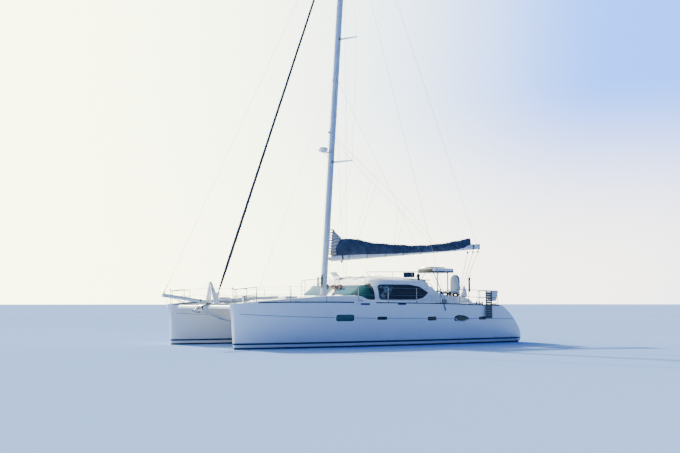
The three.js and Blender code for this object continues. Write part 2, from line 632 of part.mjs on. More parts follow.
// Boom with the mainsail stowed on it, built along its own length and then turned.
const swing = new THREE.Matrix4().makeRotationZ(THREE.MathUtils.degToRad(-BOOM.swing));
const luffTurn = mastTurn.clone().multiply(swing);
const boomTilt = THREE.MathUtils.degToRad(BOOM.rise) + Math.atan(MAST_RAKE);
const boomTurn = luffTurn.clone().multiply(new THREE.Matrix4().makeRotationY(boomTilt));
function alongBoom(rows, count = 12) {
  return loft(rows.map(([run, low, high, wide]) => Array.from({ length: count }, (unused, i) => {
    const turn = (2 * Math.PI * (i + 0.5)) / count;
    const round = (v) => Math.sign(v) * Math.abs(v) ** 0.75;
    const y = (wide / 2) * round(Math.sin(turn));
    const z = lerp(low, high, 0.5 + 0.5 * round(Math.cos(turn)));
    return new THREE.Vector3(-run, y, z).applyMatrix4(boomTurn);
  })));
}
// Columns: distance from the gooseneck, underside, top, width.
const BOOM_ROWS = [
  [60, -120, 110, 190], [500, -130, 130, 220], [7600, -125, 125, 200], [BOOM.length, -95, 125, 170],
];
// The same rows with a margin all round, and another at their ends.
const widened = (rows, margin, ends = margin) => rows.map(([run, low, high, wide]) => [
  run - ends, low - margin, high + margin, wide + 2 * margin,
]);
const COVER_ROWS = [
  [330, 100, 520, 250], [700, 80, 850, 330], [1450, 60, 790, 380], [1900, 20, 640, 360],
  [3700, -60, 370, 330], [4600, -75, 285, 320], [5400, -95, 275, 310], [6400, -105, 330, 290],
  [6900, -50, 385, 270], [7400, 0, 440, 120],
];
// The stowed sail's bare luff, as distance from the pin and height along the mast.
const LUFF_OUTLINE = [[45, 160], [330, 160], [560, 970], [470, 1050], [150, 1230], [45, 1345]];
const LUFF_HALF = 105;
const boomBody = alongBoom(BOOM_ROWS, 12);
const sleeveReach = GOOSENECK.reach - GAP;
const sleeve = pinTo(sleeveReach, GOOSENECK.sleeve).add(box(-130, 0, -18, 18, -38, 38))
  .subtract(pinTo(GOOSENECK.reach + 30, boreFor(GOOSENECK.pin))).transform(luffTurn.elements);
const boomGrown = alongBoom(widened(BOOM_ROWS, GAP), 12);
place('boom', 'alloy', boomBody.add(sleeve));
const cover = alongBoom(COVER_ROWS, 14).subtract(boomGrown);
place('mainsail_cover', 'navy', cover);

// Cockpit: helm, seats, table and the small hardtop over the helm.
const consoleOutline = (grow) => [
  [CONSOLE.front + grow, COCKPIT_FLOOR + GAP], [CONSOLE.front + grow, CONSOLE.top + grow],
  [CONSOLE.front - CONSOLE.slopeRun - grow, CONSOLE.top + grow],
  [CONSOLE.aft - grow, CONSOLE.slopeFoot + grow],
  [CONSOLE.aft - grow, COCKPIT_FLOOR + GAP],
];
place('helm_console', 'gelcoat', prism('y', consoleOutline(0), CONSOLE.inner, WELL_WALL - GAP));
// Seats that turn a corner of their well, as an outline in x and y and a top.
const BENCH = [
  [WELL_AFT + GAP, -WELL_WALL + GAP], [-3150, -WELL_WALL + GAP], [-3150, -1050], [-4780, -1050],
  [-4780, 900], [WELL_AFT + GAP, 900],
];
place('cockpit_bench', 'gelcoat', prism('z', BENCH, COCKPIT_FLOOR + GAP, 1580));
const TABLE = { x0: -4450, x1: -3450, y0: -880, y1: -120, z0: 1790, z1: 1830, leg: 50 };
const legX = (TABLE.x0 + TABLE.x1) / 2;
const legY = (TABLE.y0 + TABLE.y1) / 2;
const tableLeg = rod([legX, legY, COCKPIT_FLOOR + GAP], [legX, legY, TABLE.z0 + 10], TABLE.leg,
  TABLE.leg, 10);
place('cockpit_table', 'wood', tableLeg.add(
  box(TABLE.x0, TABLE.x1, TABLE.y0, TABLE.y1, TABLE.z0, TABLE.z1)));
const SETTEE = [
  [-1900, -WELL_WALL + GAP], [700, -WELL_WALL + GAP], [700, 800], [200, 800], [200, -1000],
  [-1900, -1000],
];
place('saloon_settee', 'seat', prism('z', SETTEE, SALOON_FLOOR + GAP, 1400));

const luffKeepOut = boomGrown.add(alongBoom(widened(COVER_ROWS, 2), 14));
const luff = prism('y', LUFF_OUTLINE.map(([run, z]) => [-run, z]), -LUFF_HALF, LUFF_HALF)
  .transform(luffTurn.elements);
place('mainsail_luff', 'sailcloth', luff.subtract(luffKeepOut));

const TOP = { x0: -4380, x1: -3150, y0: 1000, y1: 2200, z: 3160, edge: 190, thick: 235 };
// Columns: foot, then head. The last is the slanting strut to the coaming.
const POSTS = [
  [[-2960, 1080, 2800], [-3200, 1080, TOP.z + 20]],
  [[-2960, 1540, 2800], [-3200, 1540, TOP.z + 20]],
  [[-4300, 1080, COCKPIT_FLOOR], [-4300, 1080, TOP.z + 20]],
  [[-4000, 2150, 1650], [-4000, 2150, TOP.z + 20]],
  [[-3520, 2430, 2100], [-3180, 2120, TOP.z + 20]],
];
const panel = box(TOP.x0 + 360, TOP.x1 - 60, TOP.y0 + 260, TOP.y1 - 260, TOP.z + TOP.edge,
  TOP.z + TOP.thick + 25);
const canopy = prism('x', [[TOP.y0, TOP.z + TOP.edge], [TOP.y0, TOP.z], [TOP.y1, TOP.z],
  [TOP.y1, TOP.z + TOP.edge], [TOP.y1 - 200, TOP.z + TOP.thick], [TOP.y0 + 200, TOP.z + TOP.thick]],
  TOP.x0, TOP.x1);
const hardtop = join([canopy, panel, ...POSTS.map(([foot, head]) => rod(foot, head, 18))]);
const consoleGrown = prism('y', consoleOutline(GAP), CONSOLE.inner - GAP, WELL_WALL);
place('helm_roof', 'gelcoat', clearOfHulls(hardtop).subtract(bridgeGrown).subtract(consoleGrown)
  .subtract(coamingGrown));

const ring = new THREE.TorusGeometry(HELM.radius, 16, 6, 28);
ring.rotateY(Math.PI / 2);
ring.translate(HELM.x, HELM.y, HELM.z);
const spokes = [0, 1, 2, 3, 4].map((k) => {
  const turn = (2 * Math.PI * k) / 5;
  const rim = [HELM.x, HELM.y + HELM.radius * Math.sin(turn), HELM.z + HELM.radius * Math.cos(turn)];
  return rod([HELM.x, HELM.y, HELM.z], rim, 11, 11, 6);
});
const wheel = join([solid(ring), ...spokes, rod([HELM.x - 20, HELM.y, HELM.z],
  [CONSOLE.aft - GAP, HELM.y, HELM.z], 38, 38, 12)]);
place('steering_wheel', 'steel', wheel);

// Helm seat on its pedestal, with a round-topped back.
const SEAT = {
  x: -4430, y: 1860, half: 250, base: 2200, thick: 140, aft: -300, fore: 230, leg: 60, foot: 1600,
};
const SEAT_BACK = { foot: 2335, shoulder: 2800, aft: -330, fore: -220 };
const backTop = Array.from({ length: 9 }, (unused, i) => {
  const turn = (Math.PI * i) / 8;
  return [SEAT.y + SEAT.half * Math.cos(turn), SEAT_BACK.shoulder + SEAT.half * Math.sin(turn)];
});
const seatBack = prism('x', [[SEAT.y - SEAT.half, SEAT_BACK.foot], [SEAT.y + SEAT.half, SEAT_BACK.foot],
  ...backTop], SEAT.x + SEAT_BACK.aft, SEAT.x + SEAT_BACK.fore);
const seatPad = box(SEAT.x + SEAT.aft, SEAT.x + SEAT.fore, SEAT.y - SEAT.half, SEAT.y + SEAT.half,
  SEAT.base, SEAT.base + SEAT.thick);
const pedestal = rod([SEAT.x, SEAT.y, SEAT.foot], [SEAT.x, SEAT.y, SEAT.base + 10], SEAT.leg,
  SEAT.leg, 12);
place('helm_seat', 'seat', clearOfHulls(join([seatBack, seatPad, pedestal])));

// Pulpits, stanchions, lifelines and pushpits, one frame along each deck edge.
const RAIL = { inset: 45, tube: 13, wire: 5, cap: 4, drop: 8, root: 60, solidAft: -4000 };
// Inboard returns of the end frames. Columns: share of the half width, run aft.
const BOW_RETURN = { share: 0.8, run: -730, height: 560 };
const STERN_RETURN = { share: 0.35 };
// What hangs on the port rail: a boarding ladder and a box that is wider at its top.
const LADDER = { x0: -5040, x1: -4730, y: 3900, foot: 1090, top: 2340, post: 26, hook: 12, treads: 5 };
const RAIL_BOX = {
  y0: 3480, y1: 3760, outline: [[-5610, 2320], [-5480, 1870], [-5180, 1870], [-5120, 2320]],
};

function ladder(railY, railZ) {
  const { x0, x1, y, foot, top, post } = LADDER;
  const bars = [x0, x1].map((x) => rod([x, y, foot], [x, y, top], post));
  bars.push(rod([x0 - post, y, top - post], [x1 + post, y, top - post], post));
  for (let i = 0; i < LADDER.treads; i += 1) {
    const z = lerp(foot + 50, railZ - 130, i / (LADDER.treads - 1));
    bars.push(rod([x0, y, z], [x1, y, z], post));
  }
  bars.push(...[x0, x1].map((x) => rod([x, y, railZ], [x, railY, railZ], LADDER.hook)));
  return join(bars);
}

SIDES.forEach(([name, side]) => {
  const edge = (x) => side * (HULL_Y + station(3, x) - RAIL.inset);
  const inner = (x, share) => side * (HULL_Y - share * (station(3, x) - RAIL.inset));
  const posts = STANCHIONS.map(([x, height]) => {
    const deck = station(4, x);
    return { x, y: edge(x), deck, top: deck + height, mid: deck + 0.5 * height };
  });
  const upright = (x, y, deck, top) => rod([x, y, deck - RAIL.root], [x, y, top + RAIL.cap], RAIL.tube);
  const parts = posts.map((p) => upright(p.x, p.y, p.deck, p.top));
  posts.slice(1).forEach((aft, i) => {
    const fore = posts[i];
    const radius = i === 0 || aft.x <= RAIL.solidAft ? RAIL.tube : RAIL.wire;
    parts.push(rod([fore.x, fore.y, fore.top - RAIL.drop], [aft.x, aft.y, aft.top - RAIL.drop], radius));
    parts.push(rod([fore.x, fore.y, fore.mid], [aft.x, aft.y, aft.mid], radius, radius, 6));
  });
  const back = (post, share) => {
    const y = inner(post.x, share);
    parts.push(rod([post.x, post.y, post.top - RAIL.drop], [post.x, y, post.top - RAIL.drop], RAIL.tube));
    parts.push(upright(post.x, y, post.deck, post.top));
  };
  back(posts[0], BOW_RETURN.share);
  back(posts[posts.length - 1], STERN_RETURN.share);
  const endX = posts[0].x + BOW_RETURN.run;
  const endY = inner(endX, BOW_RETURN.share);
  const endDeck = station(4, endX) + station(5, endX);
  const corner = [posts[0].x, inner(posts[0].x, BOW_RETURN.share), posts[0].top - RAIL.drop];
  parts.push(rod(corner, [endX, endY, endDeck + BOW_RETURN.height], RAIL.tube));
  parts.push(upright(endX, endY, endDeck - 90, endDeck + BOW_RETURN.height));
  if (side > 0) {
    const middle = (LADDER.x0 + LADDER.x1) / 2;
    parts.push(ladder(edge(middle), station(4, middle) + 320));
    parts.push(prism('y', RAIL_BOX.outline, RAIL_BOX.y0, RAIL_BOX.y1));
  }
  place(`rail_${name}`, 'steel', clearOfHulls(join(parts)));
});

const WINDLASS = { x: 5300, z: 1700 };
// Columns: radius, height.
const WINDLASS_PROFILE = [
  [0, 0], [120, 0], [120, 130], [70, 150], [60, 200], [95, 240], [95, 300], [0, 310],
];
place('windlass', 'steel', turned(WINDLASS_PROFILE, [WINDLASS.x, 0, WINDLASS.z], [0, 0, 1], 16)
  .subtract(nacelleBlank(0, GAP, 10)));
// Anchor: a bent shank and a blade across it, each an outline in x and z with its two sides y.
const SHANK = {
  outline: [[7330, 1600], [7330, 1660], [7560, 1650], [7770, 1440], [7720, 1400], [7540, 1590]],
  y: [150, 182],
};
const BLADE = {
  outline: [[7740, 1480], [7800, 1420], [7420, 1370], [7380, 1440], [7600, 1430]],
  y: [60, 272],
};
const anchor = join([SHANK, BLADE].map(({ outline, y }) => prism('y', outline, ...y)));
place('anchor', 'steel', anchor.subtract(nacelleBlank(GAP, 0, 10)));

// Guard frames beside the mast, each with two posts on the deck and one on the coachroof.
const GUARD = {
  y: 1350, top: 2780, rise: 160, front: 1650, second: 1450, aft: 60, tube: 14, deck: 1700, roof: 2500,
};
const guardTop = (x) => GUARD.top + (GUARD.rise * (GUARD.front - x)) / (GUARD.front - GUARD.aft);
SIDES.forEach(([name, side]) => {
  const at = (x, z) => [x, side * GUARD.y, z];
  const post = (x, foot) => rod(at(x, foot), at(x, guardTop(x)), GUARD.tube);
  const rail = rod(at(GUARD.front + GUARD.tube, GUARD.top),
    at(GUARD.aft - GUARD.tube, guardTop(GUARD.aft)), GUARD.tube);
  const feet = [[GUARD.front, GUARD.deck], [GUARD.second, GUARD.deck], [GUARD.aft, GUARD.roof]];
  const frame = join([...feet.map(([x, foot]) => post(x, foot)), rail]);
  place(`mast_guard_${name}`, 'steel', frame.subtract(bridgeGrown).subtract(coachroofGrown));
});

// The roof rail runs from the coachroof's front to the hardtop. Feet are given by their x.
const ROOF_RAIL = {
  y: 1700, front: 250, z: 3130, rise: 70, radius: 14, rake: 330, foot: 2700, feet: [-1200, -2300],
};
const railZ = (x) => ROOF_RAIL.z + (ROOF_RAIL.rise * (ROOF_RAIL.front - x)) / (ROOF_RAIL.front - TOP.x1);
const onRail = (x, z = railZ(x)) => [x, ROOF_RAIL.y, z];
place('roof_rail', 'steel', join([
  rod(onRail(ROOF_RAIL.front), onRail(TOP.x1 + GAP), ROOF_RAIL.radius),
  rod(onRail(ROOF_RAIL.front - 8), onRail(ROOF_RAIL.front - ROOF_RAIL.rake, ROOF_RAIL.foot),
    ROOF_RAIL.radius),
  ...ROOF_RAIL.feet.map((x) => rod(onRail(x), onRail(x, ROOF_RAIL.foot), ROOF_RAIL.radius)),
]).subtract(coachroofGrown));

export default group;
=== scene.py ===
"""Sailing catamaran afloat: the looks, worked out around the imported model.

Metres, +X to the bow, +Y to port, +Z up, origin on the centreline at the waterline,
amidships. Every shape is a function on a grid or a profile carried along a path.
"""
import math
from functools import partial

import bpy
import numpy as np
from mathutils import Matrix, Vector
from mathutils.geometry import tessellate_polygon


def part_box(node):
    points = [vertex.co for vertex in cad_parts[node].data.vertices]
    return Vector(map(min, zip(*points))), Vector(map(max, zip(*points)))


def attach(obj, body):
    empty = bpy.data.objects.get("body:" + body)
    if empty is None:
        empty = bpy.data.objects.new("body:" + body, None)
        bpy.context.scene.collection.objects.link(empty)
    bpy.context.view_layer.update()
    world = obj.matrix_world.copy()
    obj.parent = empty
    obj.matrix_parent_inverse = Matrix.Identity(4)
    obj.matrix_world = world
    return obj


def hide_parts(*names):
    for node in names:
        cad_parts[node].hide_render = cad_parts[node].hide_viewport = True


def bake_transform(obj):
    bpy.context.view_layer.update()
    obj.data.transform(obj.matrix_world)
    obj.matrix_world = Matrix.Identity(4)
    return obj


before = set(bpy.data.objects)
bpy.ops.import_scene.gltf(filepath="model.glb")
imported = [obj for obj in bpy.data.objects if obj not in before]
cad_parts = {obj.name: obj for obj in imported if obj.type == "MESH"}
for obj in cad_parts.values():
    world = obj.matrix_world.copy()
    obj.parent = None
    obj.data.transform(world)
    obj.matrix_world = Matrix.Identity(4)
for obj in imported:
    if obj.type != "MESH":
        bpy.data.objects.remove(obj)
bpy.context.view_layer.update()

# Driving dimensions, as the construction has them.
HULL_Y = 2.8
MAST_FOOT = np.array([1.36, 0.0, 2.03])
MAST_RAKE = 0.0673
MAST_TOP = 22.2
HOUNDS = 20.2
LOWERS = 11.9
GOOSENECK = np.array([1.04, 0.0, 3.74])
BOOM_SWING = math.radians(10)
BOOM_RISE = math.radians(5.3) + math.atan(MAST_RAKE)
CABIN_AFT = -2.6
WELL_WALL = 1.6
SHROUD_Y = 3.72
SIDES = (("port", 1), ("starboard", -1))

# Camera, from the photograph's horizon and waterlines.
IMAGE = (680, 453)
FOCAL_PIXELS = 989.78
SENSOR = 36.0
CAMERA_AT = (25.565, 36.466, 1.770)
CAMERA_UP = 4.437
CAMERA_YAW = -124.55


def make_camera():
    """The photograph's camera: a lens of so many pixels, tilted up and turned to the boat."""
    data = bpy.data.cameras.new("camera")
    data.sensor_width = SENSOR
    data.lens = FOCAL_PIXELS * SENSOR / IMAGE[0]
    data.clip_end = 2000
    camera = bpy.data.objects.new("camera", data)
    camera.location = CAMERA_AT
    camera.rotation_euler = (math.radians(90 + CAMERA_UP), 0, math.radians(CAMERA_YAW - 90))
    bpy.context.scene.collection.objects.link(camera)
    bpy.context.scene.camera = camera


make_camera()


# Shapes. A shape is a pair: points (n, 3), and faces (m, 4) that end in -1 where they are
# triangles.

def end_faces(ring, first, hub):
    """Triangles over a closed ring of points: a fan to its mean point where nearly all of
    the fan turns one way, and else ears cut from the ring itself."""
    count = len(ring)
    after = np.roll(np.arange(count), -1)
    spokes = ring - ring.mean(0)
    turns = np.cross(spokes, spokes[after])
    whole = turns.sum(0)
    share = turns @ whole
    if -share[share < 0].sum() <= .01 * whole @ whole:
        return np.stack([np.full(count, hub), after + first, np.arange(count) + first,
                         np.full(count, -1)], -1)
    ears = np.array(tessellate_polygon([[Vector(p) for p in ring]]))
    a, b, c = (ring[ears[:, k]] for k in range(3))
    if np.cross(b - a, c - a).sum(0) @ whole > 0:
        ears = ears[:, ::-1]
    return level(ears + first, -1)


def grid(points, around=False, along=False, caps=False):
    """Faces over rows and columns of points, each cell joined to the next row and column.
    around joins the last column to the first, along the last row to the first, and caps
    closes the first and last row by end faces."""
    points = np.asarray(points, float)
    rows, columns = points.shape[:2]
    index = np.arange(rows * columns).reshape(rows, columns)
    if around:
        index = np.column_stack([index, index[:, 0]])
    if along:
        index = np.vstack([index, index[0]])
    cells = [index[:-1, :-1], index[:-1, 1:], index[1:, 1:], index[1:, :-1]]
    faces = np.stack(cells, -1).reshape(-1, 4)
    flat = points.reshape(-1, 3)
    if caps:
        hubs = points[[0, -1]].mean(1)
        front = end_faces(points[0], 0, len(flat))
        back = flipped(end_faces(points[-1], (rows - 1) * columns, len(flat) + 1))
        flat = np.vstack([flat, hubs])
        faces = np.vstack([faces, front, back])
    return flat, faces


def outward(shape):
    """The same closed shape with its faces pointing out: they are flipped where the volume
    under them, summed as tetrahedra from the origin, is negative."""
    points, faces = shape
    third = np.where(faces[:, 3] < 0, faces[:, 2], faces[:, 3])
    a, b, c, d = (points[i] for i in (faces[:, 0], faces[:, 1], faces[:, 2], third))
    volume = (a * (np.cross(b, c) + np.cross(c, d))).sum()
    return (points, flipped(faces)) if volume < 0 else shape


def flipped(faces):
    """Faces with their corners in the other order; a triangle keeps its -1 at the end."""
    turned_round = faces[:, ::-1].copy()
    short = faces[:, 3] < 0
    turned_round[short] = np.column_stack([faces[short][:, 2::-1], faces[short][:, 3]])
    return turned_round


def loft(rings):
    """A closed skin over rings of points, one ring joined to the next, both ends closed."""
    return outward(grid(rings, around=True, caps=True))


def level(ring, z):
    """A flat ring of points at one height."""
    return np.column_stack([ring, np.full(len(ring), z)])


def around(count):
    """Angles evenly round a full turn."""
    return np.linspace(0, 2 * np.pi, count, endpoint=False)


def squared(wave, power):
    """A sine or cosine raised to a power below one, its sign kept, which turns a circle
    towards a rounded square."""
    return np.sign(wave) * np.abs(wave) ** power


def gather(*shapes):
    """Several shapes as one."""
    points, faces, count = [], [], 0
    for some_points, some_faces in shapes:
        points.append(some_points)
        faces.append(np.where(some_faces < 0, -1, some_faces + count))
        count += len(some_points)
    return np.vstack(points), np.vstack(faces)


def moved(shape, matrix=None, by=(0, 0, 0)):
    """A shape turned by a matrix and then moved."""
    points, faces = shape
    if matrix is not None:
        points = points @ np.asarray(matrix, float).T
    return points + np.asarray(by, float), faces


def unit(vectors):
    """Vectors divided by their own lengths."""
    return vectors / np.maximum(np.linalg.norm(vectors, axis=-1, keepdims=True), 1e-9)


def frames(path, closed=False):
    """Across-directions at each point of a path: side lies across the path and across the
    one direction that the path turns about least, and up across both."""
    if closed:
        tangent = np.roll(path, -1, 0) - np.roll(path, 1, 0)
    else:
        tangent = np.gradient(path, axis=0)
    tangent = unit(tangent)
    reference = np.linalg.svd(tangent)[2][-1]
    side = unit(np.cross(tangent, reference))
    return side, np.cross(side, tangent)


def sweep(path, sections, closed=False, caps=True):
    """A section (k, 2), or one for each point (n, k, 2), carried along a path: each section
    point is the path's point plus its first number along side and its second along up."""
    path = np.asarray(path, float)
    sections = np.broadcast_to(sections, (len(path), *np.shape(sections)[-2:]))
    side, up = frames(path, closed)
    rings = path[:, None] + sections[..., :1] * side[:, None] + sections[..., 1:] * up[:, None]
    return outward(grid(rings, around=True, along=closed, caps=caps and not closed))


def circle(sides):
    """Points evenly round a unit circle: the cosine and sine of each turn."""
    turn = around(sides)
    return np.stack([np.cos(turn), np.sin(turn)], -1)


def tube(path, radius, sides=8, closed=False):
    """A round bar: circles of the given radius, one for all or one a point, along a path."""
    radius = np.broadcast_to(radius, len(path))[:, None, None]
    return sweep(path, circle(sides) * radius, closed)


def rods(ends, radius, sides=6):
    """Straight round bars, one for each pair of ends."""
    return gather(*(tube(np.array(pair, float), radius, sides) for pair in ends))


def turned(profile, base=(0, 0, 0), direction=(0, 0, 1), sides=24):
    """A profile of radius and height turned about an axis."""
    radius, height = np.array(profile, float).T
    axis = unit(np.array(direction, float))
    reference = [1, 0, 0] if abs(axis[0]) < 0.9 else [0, 1, 0]
    side = unit(np.cross(axis, reference))
    up = np.cross(axis, side)
    ring = circle(sides)
    across = ring[:, :1] * side + ring[:, 1:] * up
    points = radius[:, None, None] * across + height[:, None, None] * axis
    return loft(points + np.asarray(base, float))


def rounded(outline, radius, steps=5):
    """An outline with each corner replaced by a quadratic curve that starts and ends at
    radius from it, or at half the shorter edge."""
    corner = np.array(outline, float)
    before, after = np.roll(corner, 1, 0) - corner, np.roll(corner, -1, 0) - corner
    reach = np.minimum(radius, 0.5 * np.minimum(*(np.linalg.norm(v, axis=1) for v in (before, after))))
    a = corner + unit(before) * reach[:, None]
    b = corner + unit(after) * reach[:, None]
    t = np.linspace(0, 1, steps)[:, None]
    arcs = [(1 - t) ** 2 * p + 2 * t * (1 - t) * c + t ** 2 * q for p, c, q in zip(a, corner, b)]
    return np.vstack(arcs)


def inset(outline, margin):
    """An outline moved inwards, each point along the mean of its two edges' normals."""
    ring = np.asarray(outline, float)
    along = unit(np.roll(ring, -1, 0) - np.roll(ring, 1, 0))
    area = (ring[:, 0] * np.roll(ring[:, 1], -1) - np.roll(ring[:, 0], -1) * ring[:, 1]).sum()
    return ring + np.sign(area) * margin * np.stack([-along[:, 1], along[:, 0]], -1)


def mitred(outline, margin):
    """An outline moved inwards with its edges kept straight: each corner goes along the mean
    of its edges' normals by margin over that mean's dot product with either of them."""
    corner = np.asarray(outline, float)
    ahead = unit(np.roll(corner, -1, 0) - corner)
    area = (corner[:, 0] * np.roll(corner[:, 1], -1) - np.roll(corner[:, 0], -1) * corner[:, 1]).sum()
    after = np.sign(area) * np.stack([-ahead[:, 1], ahead[:, 0]], -1)
    middle = unit(after + np.roll(after, 1, 0))
    return corner + middle * (margin / (middle * after).sum(-1))[:, None]


AXES = {"x": (1, 2, 0), "y": (0, 2, 1), "z": (0, 1, 2)}


def moulded(outline, low, high, edge=0.0, axis="z", steps=4):
    """An outline carried along an axis from low to high, with its rims rounded: near each
    end it is inset by edge times one less the cosine of a turn that grows with height."""
    turn = np.linspace(0, np.pi / 2, steps) if edge else np.array([0.0])
    margins = edge * (1 - np.sin(turn))
    heights = edge * (1 - np.cos(turn))
    levels = [(low + h, m) for h, m in zip(heights, margins)]
    levels += [(high - h, m) for h, m in zip(heights[::-1], margins[::-1])]
    rings = [level(inset(outline, m), z) for z, m in levels]
    order = np.argsort(AXES[axis])
    return loft(np.array(rings)[..., order])


def block(x, y, z, edge=0.01, corner=0.03):
    """A box between three pairs of limits, with its corners and rims rounded."""
    corner = min(corner, .49 * (x[1] - x[0]), .49 * (y[1] - y[0]))
    ring = rounded([(x[0], y[0]), (x[1], y[0]), (x[1], y[1]), (x[0], y[1])], corner)
    return moulded(ring, z[0], z[1], edge)


def smoothed(rows, count, axis=0):
    """A table resampled evenly along its rows by monotone cubic curves: each row's slope is
    the harmonic mean of the steps beside it, and nought where they change sign."""
    rows = np.moveaxis(np.asarray(rows, float), axis, 0)
    step = np.diff(rows, axis=0)
    before, after = step[:-1], step[1:]
    same = before * after > 0
    slope = np.concatenate([step[:1], np.zeros_like(before), step[-1:]])
    slope[1:-1][same] = (2 * before * after)[same] / (before + after)[same]
    t = np.linspace(0, len(rows) - 1, count)
    i = np.minimum(t.astype(int), len(rows) - 2)
    f = (t - i).reshape(-1, *[1] * (rows.ndim - 1))
    made = ((1 + 2 * f) * (1 - f) ** 2 * rows[i] + f * (1 - f) ** 2 * slope[i]
            + f ** 2 * (3 - 2 * f) * rows[i + 1] - f ** 2 * (1 - f) * slope[i + 1])
    return np.moveaxis(made, 0, axis)


def line(*points, count=24):
    """A smooth path through a few points."""
    return smoothed(points, count)


def put(name, shape, material, body="root", crease=35, stands_for=None):
    """Makes a shape, or a list of them as one, a piece that rides on a body. Edges sharper
    than crease stay sharp."""
    points, faces = gather(*shape) if isinstance(shape, list) else shape
    keep = faces >= 0
    counts = keep.sum(1)
    mesh = bpy.data.meshes.new(name)
    mesh.vertices.add(len(points))
    mesh.vertices.foreach_set("co", np.ascontiguousarray(points, np.float32).ravel())
    mesh.loops.add(int(counts.sum()))
    mesh.loops.foreach_set("vertex_index", faces[keep].astype(np.int32))
    mesh.polygons.add(len(faces))
    mesh.polygons.foreach_set("loop_start", (np.cumsum(counts) - counts).astype(np.int32))
    mesh.update(calc_edges=True)
    mesh.validate()
    finish_edges(mesh, crease)
    mesh.materials.append(material)
    piece = bpy.data.objects.new(name, mesh)
    bpy.context.scene.collection.objects.link(piece)
    if body:
        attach(piece, body)
    if stands_for:
        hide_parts(stands_for)
    return piece


def finish_edges(mesh, crease):
    """Smooth shading that breaks at edges sharper than crease, in degrees."""
    mesh.shade_smooth()
    mesh.set_sharp_from_angle(angle=math.radians(crease))


def cut(piece, shape, how="DIFFERENCE", crease=35):
    """Cuts a closed shape out of a piece, or keeps only what lies in it."""
    tool = put(piece.name + "_tool", shape, piece.data.materials[0], body=None)
    modifier = piece.modifiers.new("cut", "BOOLEAN")
    modifier.operation = how
    modifier.solver = "EXACT"
    modifier.object = tool
    bpy.context.view_layer.update()
    done = bpy.data.meshes.new_from_object(
        piece.evaluated_get(bpy.context.evaluated_depsgraph_get()))
    if not done.vertices:
        raise ValueError(piece.name + " was cut away")
    piece.modifiers.clear()
    piece.data = done
    finish_edges(done, crease)
    bpy.data.objects.remove(tool)
    return piece


# Finishes.

class Value:
    """A number on a socket. Python's operators on it add Math nodes."""

    def __init__(self, finish, socket):
        self.finish, self.socket = finish, socket

    def __add__(self, other):
        return self.finish.maths("ADD", self, other)

    __radd__ = __add__

    def __sub__(self, other):
        return self.finish.maths("SUBTRACT", self, other)

    def __rsub__(self, other):
        return self.finish.maths("SUBTRACT", other, self)

    def __mul__(self, other):
        return self.finish.maths("MULTIPLY", self, other)

    __rmul__ = __mul__

    def __truediv__(self, other):
        return self.finish.maths("DIVIDE", self, other)

    def __pow__(self, other):
        return self.finish.maths("POWER", self, other)

    def __abs__(self):
        return self.finish.maths("ABSOLUTE", self)


